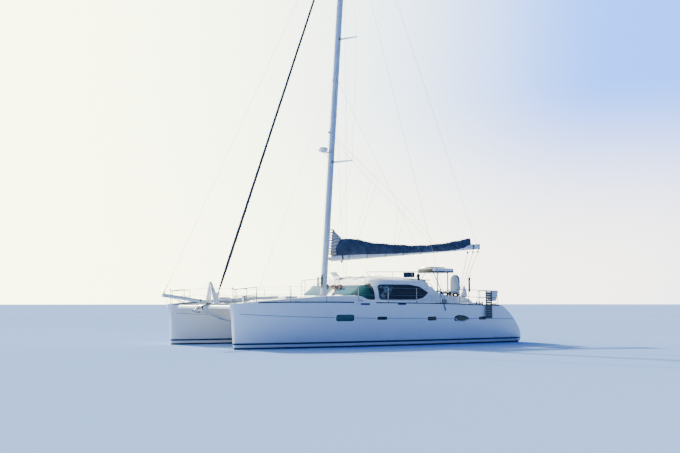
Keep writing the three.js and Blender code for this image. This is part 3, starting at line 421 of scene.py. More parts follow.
class Finish:
    """A material: one Principled shader and what feeds it, on the piece's own place."""

    def __init__(self, name, colour, roughness=0.5, metallic=0.0, **fixed):
        self.material = bpy.data.materials.new(name)
        self.material.use_nodes = True
        self.tree = self.material.node_tree
        self.shader = self.tree.nodes["Principled BSDF"]
        self.set(Base_Color=colour, Roughness=roughness, Metallic=metallic, **fixed)
        self.parts = None

    @classmethod
    def over(cls, tree):
        """The same tools on another tree of nodes."""
        made = cls.__new__(cls)
        made.tree = tree
        made.parts = None
        return made

    def set(self, **inputs):
        """Feeds the shader's sockets, named with _ for each space."""
        for key, value in inputs.items():
            self.feed(self.shader.inputs[key.replace("_", " ")], value)

    def feed(self, socket, value):
        """Links a socket or sets its value; a colour of three numbers gets its alpha."""
        if isinstance(value, Value):
            value = value.socket
        if isinstance(value, bpy.types.NodeSocket):
            self.tree.links.new(value, socket)
        elif isinstance(value, (tuple, list)) and socket.type == "RGBA" and len(value) == 3:
            socket.default_value = (*value, 1)
        else:
            socket.default_value = value

    def node(self, kind, settings=(), **inputs):
        """Any node: its settings first, then its sockets by name, or by number after in_."""
        made = self.tree.nodes.new(kind)
        for key, value in dict(settings).items():
            setattr(made, key, value)
        for key, value in inputs.items():
            socket = made.inputs[int(key[3:])] if key.startswith("in_") else made.inputs[key]
            self.feed(socket, value)
        return made

    def maths(self, operation, *values):
        """One Math node on numbers and values."""
        inputs = {f"in_{i}": value for i, value in enumerate(values)}
        made = self.node("ShaderNodeMath", {"operation": operation}, **inputs)
        return Value(self, made.outputs[0])

    def sine(self, value):
        """The sine of a value."""
        return self.maths("SINE", value)

    def edge_of(self, value):
        """A saw's distance from its middle: nought mid-tooth, a half where teeth meet."""
        return abs(self.maths("FRACT", value) - .5)

    def place(self):
        """The piece's own x, y and z."""
        if self.parts is None:
            self.where = self.node("ShaderNodeTexCoord").outputs["Object"]
            split = self.node("ShaderNodeSeparateXYZ", (), Vector=self.where)
            self.parts = [Value(self, out) for out in split.outputs]
        return self.parts

    def noise(self, scale, detail=2.0, stretch=(1, 1, 1), rough=0.5):
        """Clouds in the piece's own place, drawn out along the axes with a low stretch."""
        self.place()
        where = self.node("ShaderNodeMapping", (), Vector=self.where, Scale=stretch).outputs[0]
        made = self.node("ShaderNodeTexNoise", (), Vector=where, Scale=scale, Detail=detail,
                         Roughness=rough)
        return Value(self, made.outputs["Fac"])

    def ramp(self, value, low, high, to_low=0.0, to_high=1.0):
        """value carried smoothly from low and high to two new numbers, and held outside."""
        made = self.node("ShaderNodeMapRange", {"interpolation_type": "SMOOTHSTEP"},
                         **{"Value": value, "From Min": low, "From Max": high,
                            "To Min": to_low, "To Max": to_high})
        return Value(self, made.outputs[0])

    def band(self, value, middle, half, soft=0.004):
        """One where value lies within half of middle, and nought outside."""
        return self.ramp(abs(value - middle), half - soft, half + soft, 1.0, 0.0)

    def facing_up(self, low=0.6, high=0.85):
        """One where the surface faces up."""
        normal = self.node("ShaderNodeNewGeometry").outputs["Normal"]
        split = self.node("ShaderNodeSeparateXYZ", (), Vector=normal)
        return self.ramp(Value(self, split.outputs[2]), low, high)

    def grip(self, x, y):
        """Moulded grip: where it lies, which is on faces that look up between smooth gutters
        across the boat, and the height of its diamond studs, two crossed sines."""
        gutter = self.ramp(self.edge_of(x * .71), .455, .47, 1, 0)
        return self.facing_up(.93, .985) * gutter, self.sine((x + y) * 190) * self.sine((x - y) * 190)

    def mix(self, share, first, second):
        """Two colours mixed by a share from nought, the first, to one."""
        made = self.node("ShaderNodeMix", {"data_type": "RGBA"})
        for number, value in ((0, share), (6, first), (7, second)):
            self.feed(made.inputs[number], value)
        return made.outputs[2]

    def bump(self, height, distance, strength=1.0):
        """Relief from a height, fed to the shader's normal."""
        made = self.node("ShaderNodeBump", (), Height=height, Distance=distance,
                         Strength=strength)
        self.set(Normal=made.outputs[0])


# Hull tables. Columns: x, keel line, half width at the waterline, half width at deck,
# sheer, height of the raised trunk.
STATIONS = np.array([
    [7.51, 1.56, .012, .03, 1.74, 0], [7.43, 1.08, .024, .085, 1.745, .003],
    [7.3, -.03, .04, .15, 1.75, .008], [7, -.17, .1, .27, 1.768, .016],
    [6.4, -.3, .215, .47, 1.808, .04], [5.6, -.41, .35, .68, 1.824, .085],
    [4.6, -.495, .48, .86, 1.83, .15], [3.4, -.56, .6, .975, 1.828, .225],
    [2, -.605, .69, 1.035, 1.816, .25], [1.3, -.612, .712, 1.042, 1.811, .09],
    [.4, -.622, .74, 1.05, 1.804, .06],
    [-1.2, -.612, .76, 1.05, 1.79, .05], [-2.7, -.575, .755, 1.05, 1.765, .04],
    [-4, -.5, .735, 1.035, 1.73, .025], [-5, -.415, .7, 1.01, 1.705, .02],
    [-5.7, -.335, .66, .985, 1.69, .015], [-6, -.3, .64, .965, 1.56, .005],
    [-6.3, -.262, .615, .94, 1.35, .005], [-6.6, -.222, .59, .905, 1.08, .005],
    [-6.9, -.18, .56, .85, .74, .005], [-7.1, -.145, .54, .78, .51, .005],
    [-7.23, -.118, .52, .68, .25, .005], [-7.3, -.09, .505, .56, .06, .002]])
# Boarding steps in each stern. Columns: forward edge x, tread z.
STEPS = [(-5.68, 1.38), (-6.02, 1.06), (-6.36, .74), (-6.7, .4)]
# Wells under the deck lids: x from and to, distance from the centreline from and to, floor.
FOREPEAK = (4.65, 5.15, 2.55, 3.05, 1.0)
ENGINE_ROOM = (-5.0, -4.2, 2.64, 3.3, .3)
# Coachroof levels. Columns: z, front x, half width, radius of the aft corners.
CABIN = np.array([
    [1.6, 1.16, 2.65, .02], [2.02, 1.1, 2.62, .02], [2.56, .55, 2.465, .04],
    [2.74, .31, 2.37, .33], [2.85, 0, 1.95, .42], [2.93, -.35, 1.25, .42],
    [2.965, -.7, .5, .2]])
SIDE_FRONT_WINDOW = [(.48, 1.94), (1.3, 1.94), (1.3, 2.63), (.56, 2.63), (.48, 2.54)]
SIDE_AFT_WINDOW = [(.21, 1.99), (.21, 2.49), (.09, 2.56), (-1.5, 2.57), (-2.05, 2.49),
                   (-2.47, 2.24), (-2.15, 2.02), (-1.75, 1.95), (.13, 1.95)]
FRONT_WINDOW = [(.12, 2.08), (2.25, 2.08), (2.25, 2.6), (.12, 2.6)]
COAMING = [(-2.602, 2.56), (-2.74, 2.5), (-2.9, 2.37), (-3.25, 2.2), (-3.7, 2.1),
           (-4.6, 2.06), (-5, 1.96), (-5.2, 1.78), (-5.24, 1.6), (-2.602, 1.6)]
STANCHIONS = [(7.33, .56), (6.55, .6), (5.23, .61), (3.65, .61), (2.15, .61), (.65, .61),
              (-.85, .61), (-2.15, .61), (-3.25, .63), (-4.45, .64), (-5.55, .64)]
NACELLE = [(4.48, .86), (5.5, .93), (6.3, 1.1), (7.15, 1.4), (7.33, 1.48), (7.36, 1.7),
           (7, 1.755), (4.48, 1.79)]
BRIDGE = [(-5.6, .9), (-5.6, 1.7), (-2.6, 1.745), (1.1, 1.9), (1.66, 1.95), (4.3, 1.9),
          (4.48, 1.72), (4.48, 1.3), (3.7, .8), (-5, .76)]


def mix(a, b, t):
    """a and b mixed by a share t, from nought, which is a, to one."""
    return a + (b - a) * t


def hull_sections():
    """Half sections at the stations, from the keel line over the sheer to the crown."""
    x, keel, water, deck, sheer, trunk = STATIONS.T
    level = np.where(keel < 0, .05, mix(keel, sheer, .3))
    under = level - keel
    half = [(0 * x, keel), (.45 * water, keel + .04 * under),
            (.8 * water, keel + .28 * under), (water, level),
            (mix(water, deck, .6), mix(level, sheer, .3)),
            (mix(water, deck, .9), mix(level, sheer, .66)), (deck, sheer),
            (.78 * deck, sheer + .12 * trunk + .002), (.66 * deck, sheer + trunk + .004),
            (0 * x, sheer + 1.1 * trunk + .008)]
    return np.array([np.stack([x, y, z], -1) for y, z in half]).swapaxes(0, 1)


SECTIONS = smoothed(hull_sections(), 177)
TOPSIDE = smoothed(SECTIONS[:, :7], 25, axis=1)
DECK = smoothed(SECTIONS[:, 6:], 16, axis=1)


def skin(x, z, out=0.0, side=1):
    """Points on a hull's outer topside at places x and z, moved out by a little."""
    points = []
    for a, b in zip(np.ravel(x), np.ravel(z)):
        row = np.interp(-a, -TOPSIDE[:, 0, 0], np.arange(len(TOPSIDE)))
        i = min(int(row), len(TOPSIDE) - 2)
        curve = mix(TOPSIDE[i], TOPSIDE[i + 1], row - i)
        points.append(np.interp(b, curve[:, 2], curve[:, 1]))
    y = HULL_Y + np.reshape(points, np.shape(x)) + out
    return np.stack([np.asarray(x, float), side * y, np.asarray(z, float)], -1)


def deck(x, y, out=0.0):
    """Heights of a hull's deck at places x and y from its own centreline."""
    rows = np.interp(-np.ravel(x), -DECK[:, 0, 0], np.arange(len(DECK)))
    heights = []
    for row, across in zip(rows, np.ravel(np.broadcast_to(y, np.shape(x)))):
        i = min(int(row), len(DECK) - 2)
        curve = mix(DECK[i], DECK[i + 1], row - i)[::-1]
        heights.append(np.interp(abs(across), curve[:, 1], curve[:, 2]))
    return np.reshape(heights, np.shape(x)) + out


def deck_height(x, y):
    """The same for one place, as a plain number."""
    return float(deck(np.array([x]), y)[0])


def on_deck(x, y, out=0.0, side=1):
    """Points on a hull's deck, moved up by a little."""
    return np.stack([x, side * (HULL_Y + y), deck(x, y, out)], -1)


def at_station(x, column):
    """One number of the hull's sections at any x, straight between stations."""
    row, axis = column
    return np.interp(-np.asarray(x, float), -SECTIONS[:, 0, 0], SECTIONS[:, row, axis])


def edge_half(x):
    """Half width of a hull at its deck edge."""
    return at_station(x, (6, 1))


def sheer(x):
    """Height of a hull's deck edge."""
    return at_station(x, (6, 2))


def ring_at(x0, x1, y0, y1, corner=.08):
    """A rectangle with round corners, walked from its front port corner."""
    return rounded([(x1, y1), (x1, y0), (x0, y0), (x0, y1)], corner, 6)


def patch(outline, skin_of, out, edge=.01, under=.01):
    """A pad that lies on a surface: rings of the outline shrunk step by step, the first one
    under the surface, the next ones rising to out with a rounded rim."""
    ring = np.asarray(outline, float)
    rings = []
    for margin, height in ((0, -under), (0, out * .5), (edge * .4, out * .9), (edge, out)):
        flat = inset(ring, margin)
        rings.append(skin_of(flat[:, 0], flat[:, 1], height))
    flat = inset(ring, edge)
    middle = flat.mean(0)
    for share in (.75, .5, .25):
        spot = middle + (flat - middle) * share
        rings.append(skin_of(spot[:, 0], spot[:, 1], out))
    return loft(rings)


def cabin_ring(row, inward, arc=8, run=5):
    """One level of the coachroof: a rectangle with round corners, walked from its front
    port corner, with extra points on its straight runs."""
    z, front, half, aft_corner = row
    x0, x1, w = CABIN_AFT + inward, front - inward, half - inward
    fore_corner = min(.5, .8 * w)
    arcs = []
    for x, y, radius, start in ((x1, w, fore_corner, 90), (x1, -w, fore_corner, 0),
                                (x0, -w, aft_corner, -90), (x0, w, aft_corner, -180)):
        turn = np.radians(start - 90 * np.linspace(0, 1, arc))
        cx = x - np.sign(x - (x0 + x1) / 2) * radius
        cy = y - np.sign(y) * radius
        arcs.append(np.stack([cx + radius * np.cos(turn), cy + radius * np.sin(turn)], -1))
    share = np.linspace(0, 1, run + 2)[1:-1, None]
    loop = np.vstack([part for i, here in enumerate(arcs)
                      for part in (here, mix(here[-1], arcs[(i + 1) % 4][0], share))])
    return level(loop, z)


def cabin_blank(inward, bottom=0.0, levels=25):
    """The coachroof's outer form moved inwards: its levels joined by a smooth skin."""
    rows = smoothed(CABIN, levels)
    rows[:, 0] -= inward
    rows[0, 0] = CABIN[0, 0] - bottom
    return loft([cabin_ring(row, inward) for row in rows])


def hollow(outer, inner):
    """A closed skin with a closed hollow in it."""
    return gather(outer, (inner[0], flipped(inner[1])))


def roof_z(x, y):
    """Height of the coachroof over a place: the level whose ring just reaches it."""
    rows = smoothed(CABIN, 60)
    reach = np.maximum((np.abs(y) - rows[:, 2]), (x - rows[:, 1]))
    inside = reach <= 0
    return rows[inside][-1, 0] if inside.any() else rows[0, 0]


def shade(colour, share):
    """A colour with each channel multiplied by a share."""
    return tuple(channel * share for channel in colour)


WHITE = (.78, .8, .83)
BOTTOM_PAINT = (.007, .01, .016)
BOOT_NAVY = (.014, .022, .052)
SEAL_BLACK = (.012, .013, .015)
# The grey cove line on the topsides, as places x and heights.
COVE = ((7.5, 1.37), (5, 1.25), (1.1, 1.16), (-5.6, 1.09))


def moulded_white(name, colour=WHITE, grip=False, top=1.0):
    """Gelcoat: faint clouds and rain streaks. With grip, faces that look up are darkened by
    top, a painted shade, and have diamond studs between smooth gutters."""
    f = Finish(name, colour, 0.3, Coat_Weight=0.25, Coat_Roughness=0.12)
    x, y, _ = f.place()
    streak = f.ramp(f.noise(2.6, 3, (3, 3, .35)), .5, .78, 0, .3)
    cloud = f.noise(.9, 3)
    base = f.mix(streak, colour, shade(colour, .86))
    rough = f.ramp(cloud, .3, .7, .24, .38)
    height = cloud * .02
    if grip:
        pads, studs = f.grip(x, y)
        base = f.mix(pads * .75, base, shade(colour, .8))
        # Painted shade: faces that look up are darkened by the share top.
        base = f.mix(f.facing_up(.94, .995), base, shade(colour, top))
        rough = rough + pads * .35
        height = height + studs * pads * .5
    f.set(Base_Color=base, Roughness=rough)
    f.bump(height, .004, .5)
    return f.material


def topsides(name):
    """Hull paint by height: dark bottom, pale line, navy boot stripe, white topsides with a
    grey cove line, a cubic of x through four points, and grip on the deck. Weed stains
    spread up from the waterline, and the faces between the hulls are greyer, a painted shade."""
    f = Finish(name, WHITE, 0.28, Coat_Weight=0.35, Coat_Roughness=0.08)
    x, y, z = f.place()
    cubic = [float(number) for number in np.polyfit(*np.array(COVE).T, 3)]
    cove = x * cubic[0] + cubic[1]
    for number in cubic[2:]:
        cove = cove * x + number
    streak = f.ramp(f.noise(1.7, 3, (2.5, 2.5, .3)), .52, .8, 0, .25)
    stain = f.ramp(z + f.noise(2.2, 4) * .16, .1, .5, .3, 0)
    pads, studs = f.grip(x, y)
    bow = f.ramp(x, 7.1, 7.2, .85, 0)
    scrub = f.mix(f.noise(5, 4, (1, 1, 3)), BOTTOM_PAINT, shade(BOTTOM_PAINT, 2.2))
    base = WHITE
    for share, colour in ((streak, shade(WHITE, .88)), (stain, (.42, .45, .4)),
                          (pads * .75, shade(WHITE, .8)),
                          # Painted shade: the faces between the hulls are mixed towards grey.
                          (f.ramp(abs(y), HULL_Y, HULL_Y - .2) * .6, (.5, .5, .5)),
                          (f.band(z - cove, 0, .013) * bow, (.13, .16, .22)),
                          (f.band(z, .203, .036), BOOT_NAVY),
                          (f.ramp(z, .062, .066, 1, 0), scrub)):
        base = f.mix(share, base, colour)
    f.set(Base_Color=base, Roughness=f.ramp(z, .06, .07, .85, .26) + pads * .3)
    f.bump(studs * pads * .5 + f.noise(.8, 2) * .3, .004, .5)
    return f.material


def bottom_paint(name):
    """Antifouling: matt and dark, with worn paler clouds."""
    f = Finish(name, BOTTOM_PAINT, 0.85)
    worn = f.ramp(f.noise(4, 5), .52, .72, 0, .8)
    f.set(Base_Color=f.mix(worn, BOTTOM_PAINT, (.05, .075, .1)),
          Roughness=f.ramp(worn, 0, 1, .75, .95))
    f.bump(f.noise(30, 3), .003, .5)
    return f.material


def metal(name, colour, roughness, stretch=(1, 1, 12), metallic=1.0):
    """Brushed or polished metal: fine scratches along one way and dulled clouds."""
    f = Finish(name, colour, roughness, metallic)
    scratch = f.noise(40, 3, stretch)
    dull = f.ramp(f.noise(3, 3), .45, .7, 0, .5)
    f.set(Base_Color=f.mix(dull, colour, shade(colour, .72)),
          Roughness=f.ramp(scratch, .3, .7, roughness * .75, roughness * 1.35))
    f.bump(scratch, .0006, .35)
    return f.material


def cloth(name, colour, pale, weave=420, roughness=.92, folds=.006):
    """Woven cloth: crossed threads, faded in clouds, with small creases."""
    f = Finish(name, colour, roughness, Sheen_Weight=.08)
    x, y, z = f.place()
    threads = f.sine((x + z * .7) * weave) * f.sine((y - z * .7) * weave)
    fade = f.ramp(f.noise(2.4, 4), .4, .72, 0, .55)
    crease = f.noise(7, 4, (1, 1, 1.6))
    f.set(Base_Color=f.mix(fade + threads * .06, colour, pale),
          Roughness=f.ramp(crease, .3, .7, roughness - .08, roughness))
    f.bump(crease + threads * .04, folds, .8)
    return f.material


def folded_sail(name):
    """Sailcloth in flakes: grey lilac above, beige below, with a dark line of painted shade in every
    fold.
    """
    f = Finish(name, (.4, .4, .42), .9, Sheen_Weight=.08)
    x, _, z = f.place()
    fold = f.ramp(f.sine(z * 46 + x * 9 + f.noise(3, 3) * 5), .35, .95)
    base = f.mix(f.ramp(z, 3.95, 4.35), (.36, .31, .25), (.36, .36, .4))
    # Painted shade: each fold's crease is darkened.
    f.set(Base_Color=f.mix(fold * .8, base, (.08, .085, .1)),
          Roughness=f.ramp(fold, 0, 1, .85, .95))
    f.bump(fold * -1.0, .012, .8)
    return f.material


def tinted(name, colour, detail=None, shine=.3):
    """Tinted glazing with faint clouds and smears; detail may colour it by place."""
    f = Finish(name, colour, .08, Specular_IOR_Level=shine, Coat_Weight=shine * .8, Coat_Roughness=.03)
    base = f.mix(f.noise(1.4, 2) * .4, colour, shade(colour, .7))
    if detail:
        base = detail(f, base, *f.place())
    f.set(Base_Color=base, Roughness=f.ramp(f.noise(6, 3), .4, .8, .05, .14))
    return f.material


def windscreen_tint_and_reflection(f, base, _, y, z):
    """Teal that pales towards the centreline and past it, a painted reflection of the sky, with a
    slanted edge where a sunshade hangs behind the pane, and near black in its upper aft corner."""
    slant = y - (z - 2.15) * .44 + f.noise(1.3, 2) * .16
    # Painted reflection: the pane pales towards the centreline as if it mirrored the sky.
    pale = f.mix(f.ramp(y, 1.5, -.6), (.022, .11, .17), (.05, .12, .21))
    base = f.mix(f.ramp(slant, 1.6, 1.72), pale, base)
    return f.mix(f.ramp(abs(y) + z, 4.7, 4.86) * .8, base, (.006, .012, .018))


def saloon_tint_and_daylight(f, base, x, _, z):
    """Near black, with a few pale patches forward, painted daylight seen through the saloon, and a thin
    wooden rail.
    """
    # Painted light: pale patches stand in for daylight through the saloon's far windows.
    painted_daylight = f.ramp(f.noise(5, 2, (1, .2, 1.6)), .5, .56) * f.ramp(x, -.75, -.2) * .75
    rail = f.band(z, 2.215, .011) * f.ramp(x, -.7, -.9) * .8
    return f.mix(rail, f.mix(painted_daylight, base, (.16, .24, .28)), (.1, .05, .04))


def window_seal(name):
    """Rubber round the glazing: black along the sides, pale grey across the front."""
    f = Finish(name, SEAL_BLACK, .6)
    front = f.ramp(abs(f.place()[1]), 2.1, 1.9)
    f.set(Base_Color=f.mix(front, SEAL_BLACK, (.62, .66, .7)),
          Roughness=f.ramp(f.noise(12, 3), .4, .7, .5, .8))
    f.bump(f.noise(60, 2), .0008, .5)
    return f.material


def rope(name, colour, fleck, lay=90):
    """Laid rope: strands that turn about it, and coloured flecks."""
    f = Finish(name, colour, .85)
    x, y, z = f.place()
    strand = f.sine((x + y + z) * lay * 4)
    tracer = f.ramp(f.sine((x * .9 + y + z * 1.1) * lay), .7, .9)
    strands = f.mix(strand * .5 + .5, colour, shade(colour, .7))
    f.set(Base_Color=f.mix(tracer, strands, fleck), Roughness=f.ramp(strand, -1, 1, .95, .75))
    f.bump(strand, .0015, .8)
    return f.material


def planks(name, colour, seam, across="y", pitch=.05):
    """Boards with dark caulked seams, each with its own shade and grain along it."""
    f = Finish(name, colour, .6)
    along = dict(zip("xyz", f.place()))[across] / pitch
    caulk = f.ramp(f.edge_of(along), .45, .47)
    tone = f.maths("FRACT", f.sine(f.maths("FLOOR", along) * 12.9) * 43.7)
    grain = f.noise(9, 4, (1, 9, 9))
    base = f.mix(abs(tone) * .6, colour, shade(colour, .7))
    base = f.mix(f.ramp(grain, .4, .7, 0, .5), base, shade(colour, .55))
    f.set(Base_Color=f.mix(caulk, base, seam), Roughness=f.ramp(grain, .3, .7, .5, .75))
    f.bump(grain * .3 - caulk, .002, .7)
    return f.material


def plastic(name, colour, roughness=.45, speckle=.12, **fixed):
    """Moulded plastic or rubber with fine pits and scuffs."""
    f = Finish(name, colour, roughness, **fixed)
    scuff = f.ramp(f.noise(11, 4), .52, .75)
    pale = tuple(channel + speckle * .4 for channel in colour)
    f.set(Base_Color=f.mix(scuff * speckle * 4, colour, pale),
          Roughness=f.ramp(scuff, 0, 1, roughness, min(1, roughness + .25)))
    f.bump(f.noise(90, 2), .0008, .5)
    return f.material


def solar_cells(name):
    """Dark cells in a square lattice with pale bars and thin fingers."""
    f = Finish(name, (.012, .02, .05), .12, Coat_Weight=1)
    x, y, _ = f.place()
    lines = f.ramp(f.edge_of(y * 120), .4, .48, 0, .25)
    for way in (x, y):
        lines = f.maths("MAXIMUM", lines, f.ramp(f.edge_of(way * 6.3), .47, .485))
    base = f.mix(f.noise(8, 3), (.012, .02, .05), (.02, .035, .09))
    f.set(Base_Color=f.mix(lines, base, (.5, .53, .56)),
          Roughness=f.ramp(f.noise(5, 3), .4, .8, .1, .25))
    return f.material


HULL_PAINT = topsides("hull_paint")
GEL = moulded_white("gelcoat")
GRIP = moulded_white("gelcoat_grip", WHITE, True)
# Painted shade: the nacelle's gelcoat is greyed for the shade between the hulls.
NACELLE_PAINTED_SHADE = moulded_white("nacelle_grey", (.42, .43, .42))
CONSOLE_GREY = moulded_white("console_grey", (.3, .31, .3))
# Painted shade: the coachroof's upward faces are darkened to .62 of the white.
ROOF_WHITE_PAINTED_SHADE = moulded_white("roof_white", WHITE, True, .62)
GRIP_GREY = moulded_white("grip_grey", (.5, .53, .56), True)
CREAM = moulded_white("gelcoat_cream", (.74, .72, .66))
BOTTOM = bottom_paint("bottom_paint")
STEEL = metal("steel", (.34, .35, .37), .22)
WIRE = metal("wire", (.16, .17, .19), .4, (1, 1, 3), .5)
ALLOY = metal("painted_alloy", (.66, .7, .76), .4, (6, 6, .6), .05)
# Painted shade: the white mast gets a blue grey colour for the sky-lit shade it stands in.
MAST_SHADED_BLUE = metal("mast_paint", (.42, .53, .7), .45, (6, 6, .6), 0)
RAIL_STEEL = metal("rail_steel", (.2, .2, .22), .3)
ANODISED = metal("anodised_alloy", (.55, .57, .59), .34, (6, 6, .6), .8)
BRONZE = metal("bronze", (.42, .27, .1), .35, (1, 1, 1))
BLACK_METAL = metal("black_metal", (.02, .022, .026), .38, (6, 6, 1), .6)
NAVY = cloth("navy_canvas", (.012, .028, .07), (.045, .085, .16))
SAIL_NAVY = cloth("sail_sun_strip", (.01, .016, .035), (.035, .05, .085), 300)
# Partly painted shade: the seat fabric's blue is made darker and bluer for the shade the seats sit in.
SEATING_WITH_SHADE = cloth("seat_fabric", (.14, .21, .34), (.22, .29, .42), 380, .88, .003)
PIPING = cloth("piping", (.62, .64, .67), (.72, .73, .75), 500)
FLAG_RED = cloth("flag_red", (.25, .012, .014), (.34, .04, .03), 600)
FLAG_DARK = cloth("flag_dark", (.012, .012, .016), (.04, .04, .05), 600)
FOLDED_SAIL = folded_sail("folded_sail")
TEAL_GLASS = tinted("teal_glass", (.014, .055, .065), windscreen_tint_and_reflection, .03)
SALOON_GLASS = tinted("saloon_glass", (.012, .022, .036), saloon_tint_and_daylight)
SMOKE_GLASS = tinted("smoke_glass", (.3, .33, .42))
DARK_GLASS = tinted("dark_glass", (.008, .013, .02))
PORT_GLASS = tinted("port_glass", (.016, .09, .1))
WINDOW_SEAL = window_seal("window_seal")
RUBBER = plastic("black_rubber", (.012, .013, .015), .6)
GREY_PLASTIC = plastic("grey_plastic", (.2, .22, .24), .5)
PALE_PLASTIC = plastic("pale_plastic", (.68, .7, .71), .4)
RED_LENS = plastic("red_lens", (.45, .01, .01), .1, .02, Coat_Weight=1.0)
GREEN_LENS = plastic("green_lens", (.01, .3, .08), .1, .02, Coat_Weight=1.0)
CLEAR_LENS = plastic("clear_lens", (.75, .77, .78), .08, .02, Coat_Weight=1.0)
SCREEN = plastic("screen_glass", (.01, .02, .03), .06, .01, Coat_Weight=1.0)
BLUE_ROPE = rope("blue_rope", (.6, .62, .64), (.04, .1, .3))
RED_ROPE = rope("red_rope", (.6, .61, .6), (.4, .03, .03))
GREEN_ROPE = rope("green_rope", (.02, .075, .075), (.2, .26, .25))
BROWN_ROPE = rope("brown_rope", (.2, .11, .08), (.3, .2, .16))
DARK_ROPE = rope("dark_rope", (.015, .02, .035), (.1, .11, .14))
GREY_LINE = rope("grey_line", (.12, .14, .17), (.3, .32, .35))
PALE_ROPE = rope("pale_rope", (.58, .58, .55), (.4, .4, .38))
NET = rope("net_cord", (.62, .64, .66), (.5, .52, .55), 140)
TEAK = planks("teak", (.3, .17, .08), (.02, .02, .02))
CABIN_WOOD = planks("cabin_wood", (.42, .27, .14), (.12, .07, .03), "x", .12)
WEATHERED = planks("weathered_wood", (.1, .1, .11), (.03, .03, .03), "z", .1)
VARNISH = planks("varnished_wood", (.2, .09, .04), (.08, .04, .02), "z", .4)
PANEL_CELLS = solar_cells("solar_cells")


# Hulls.

def make_hull(name, side):
    """The loft of the stations, closed at stem and stern, with the boarding steps and the
    wells under the deck lids cut from it."""
    half = np.concatenate([TOPSIDE, DECK[:, 1:]], 1)
    rings = np.concatenate([half, half[:, -2:0:-1] * [1, -1, 1]], 1)
    hull = put(f"hull_{name}_moulding", loft(rings), HULL_PAINT, stands_for=f"hull_{name}")
    hull.data.transform(Matrix.Translation((0, side * HULL_Y, 0)))
    for front, tread in STEPS:
        step = block((-8.2, front), (-.56, .56), (tread, 2.6), .03, .1)
        cut(hull, moved(step, by=(0, side * HULL_Y, 0)))
    for x0, x1, y0, y1, floor in (FOREPEAK, ENGINE_ROOM):
        cut(hull, block((x0, x1), sorted((side * y0, side * y1)), (floor, 2.6), .02, .05))


def tread_pads(name, side):
    """Grey grip pads, 8 mm thick, on each boarding step."""
    pads = [block((aft + .05, front - .05), (side * HULL_Y - .5, side * HULL_Y + .5),
                  (tread - .002, tread + .008), .003, .06)
            for (front, tread), aft in zip(STEPS, (-6.02, -6.36, -6.7, -6.98))]
    put(f"step_pads_{name}", pads, GRIP_GREY)


# Windows in the topsides: outline in x and z, and whether it is tinted teal.
PORTS = [
    ([(3.22, 1.31), (3.22, 1.06), (2.37, 1.06), (2.37, 1.31)], True),
    ([(1.22, 1.22), (1.22, 1.1), (.72, 1.1), (.72, 1.22)], False),
    ([(-1.44, 1.2), (-1.44, 1.05), (-1.92, 1.05), (-1.92, 1.2)], False),
    ([(-2.93, 1.02), (-2.93, 1.2), (-3.15, 1.26), (-3.5, 1.24), (-3.86, 1.1), (-3.5, .98)], False),
    ([(-4.37, 1.18), (-4.37, 1.06), (-4.81, 1.06), (-4.81, 1.18)], False)]
VENTS = [(2.07, 1.62), (.17, -.25)]


def side_ports(name, side):
    """Windows in the topsides: a pale moulded rim, a dark seal and a pane in it. The long
    oval one aft has a pale moulding curved across its foot."""
    on_side = partial(skin, side=side)
    rings = [(rounded(outline, .1, 7), teal) for outline, teal in PORTS]
    rims = [patch(inset(ring, -.035), on_side, .007, .012) for ring, teal in rings]
    seals = [patch(inset(ring, -.008), on_side, .011, .008) for ring, teal in rings]
    put(f"port_rims_{name}", rims, GEL)
    put(f"port_seals_{name}", seals, RUBBER)
    for label, wanted, glass in (("teal", True, PORT_GLASS), ("dark", False, DARK_GLASS)):
        panes = [patch(inset(ring, .018), on_side, .014, .006)
                 for ring, teal in rings if teal == wanted]
        put(f"port_panes_{label}_{name}", panes, glass)
    curve = line((-2.98, 0, 1.12), (-3.1, 0, 1.03), (-3.35, 0, 1.0), (-3.6, 0, 1.04), (-3.78, 0, 1.1))
    put(f"port_moulding_{name}", tube(on_side(curve[:, 0], curve[:, 2], .018), .012, 8), GEL)
    vents = [rounded([(x0, 1.775), (x0, 1.705), (x1, 1.705), (x1, 1.775)], .03)
             for x0, x1 in VENTS]
    put(f"side_vents_{name}", [patch(ring, on_side, .012, .006) for ring in vents], NAVY)


def edge_path(start, end, side, inner=False, out=0.0, up=0.0, count=60):
    """A path along a hull's deck edge: its half width by x, moved out and up."""
    x = np.linspace(start, end, count)
    half = edge_half(x) + out
    y = side * (HULL_Y + (-half if inner else half))
    return np.stack([x, y, sheer(x) + up], -1)


def edge_trim(name, side):
    """A dark rubbing strake round the deck edge, and a low toe rail inside it."""
    bar = rounded([(-.013, -.022), (.013, -.022), (.013, .022), (-.013, .022)], .01, 3)
    strake = [sweep(edge_path(6.5, 2.4, side, out=.004, up=-.012), bar),
              sweep(edge_path(1.3, -5.62, side, out=.004, up=-.012), bar),
              sweep(edge_path(7.3, 4.6, side, True, .004, -.012, 20), bar)]
    boarding = sweep(edge_path(2.36, 1.34, side, out=.002, up=-.01, count=20), bar * [1, 1.6])
    put(f"boarding_strip_{name}", boarding, GEL)
    put(f"rubbing_strake_{name}", strake, RUBBER)
    rail = rounded([(-.01, -.002), (.01, -.002), (.008, .04), (-.008, .04)], .006, 3)
    put(f"toe_rail_{name}", sweep(edge_path(7.1, -5.6, side, out=-.05, up=.004), rail), ANODISED)


def cleat(x, y, z, turn=0.0, size=.13):
    """A horned cleat: a bowed bar over two feet and a base plate."""
    horn = line((-size, 0, .045), (-size * .5, 0, .058), (size * .5, 0, .058), (size, 0, .045),
                count=9)
    thick = np.interp(np.linspace(-1, 1, 9), [-1, -.5, .5, 1], [.006, .012, .012, .006])
    feet = [tube([(way * .035, 0, 0), (way * .03, 0, .056)], .012, 8) for way in (-1, 1)]
    base = block((-.06, .06), (-.022, .022), (-.004, .006), .002, .015)
    c, s = math.cos(turn), math.sin(turn)
    return moved(gather(tube(horn, thick, 8), *feet, base), [[c, -s, 0], [s, c, 0], [0, 0, 1]],
                 (x, y, z))


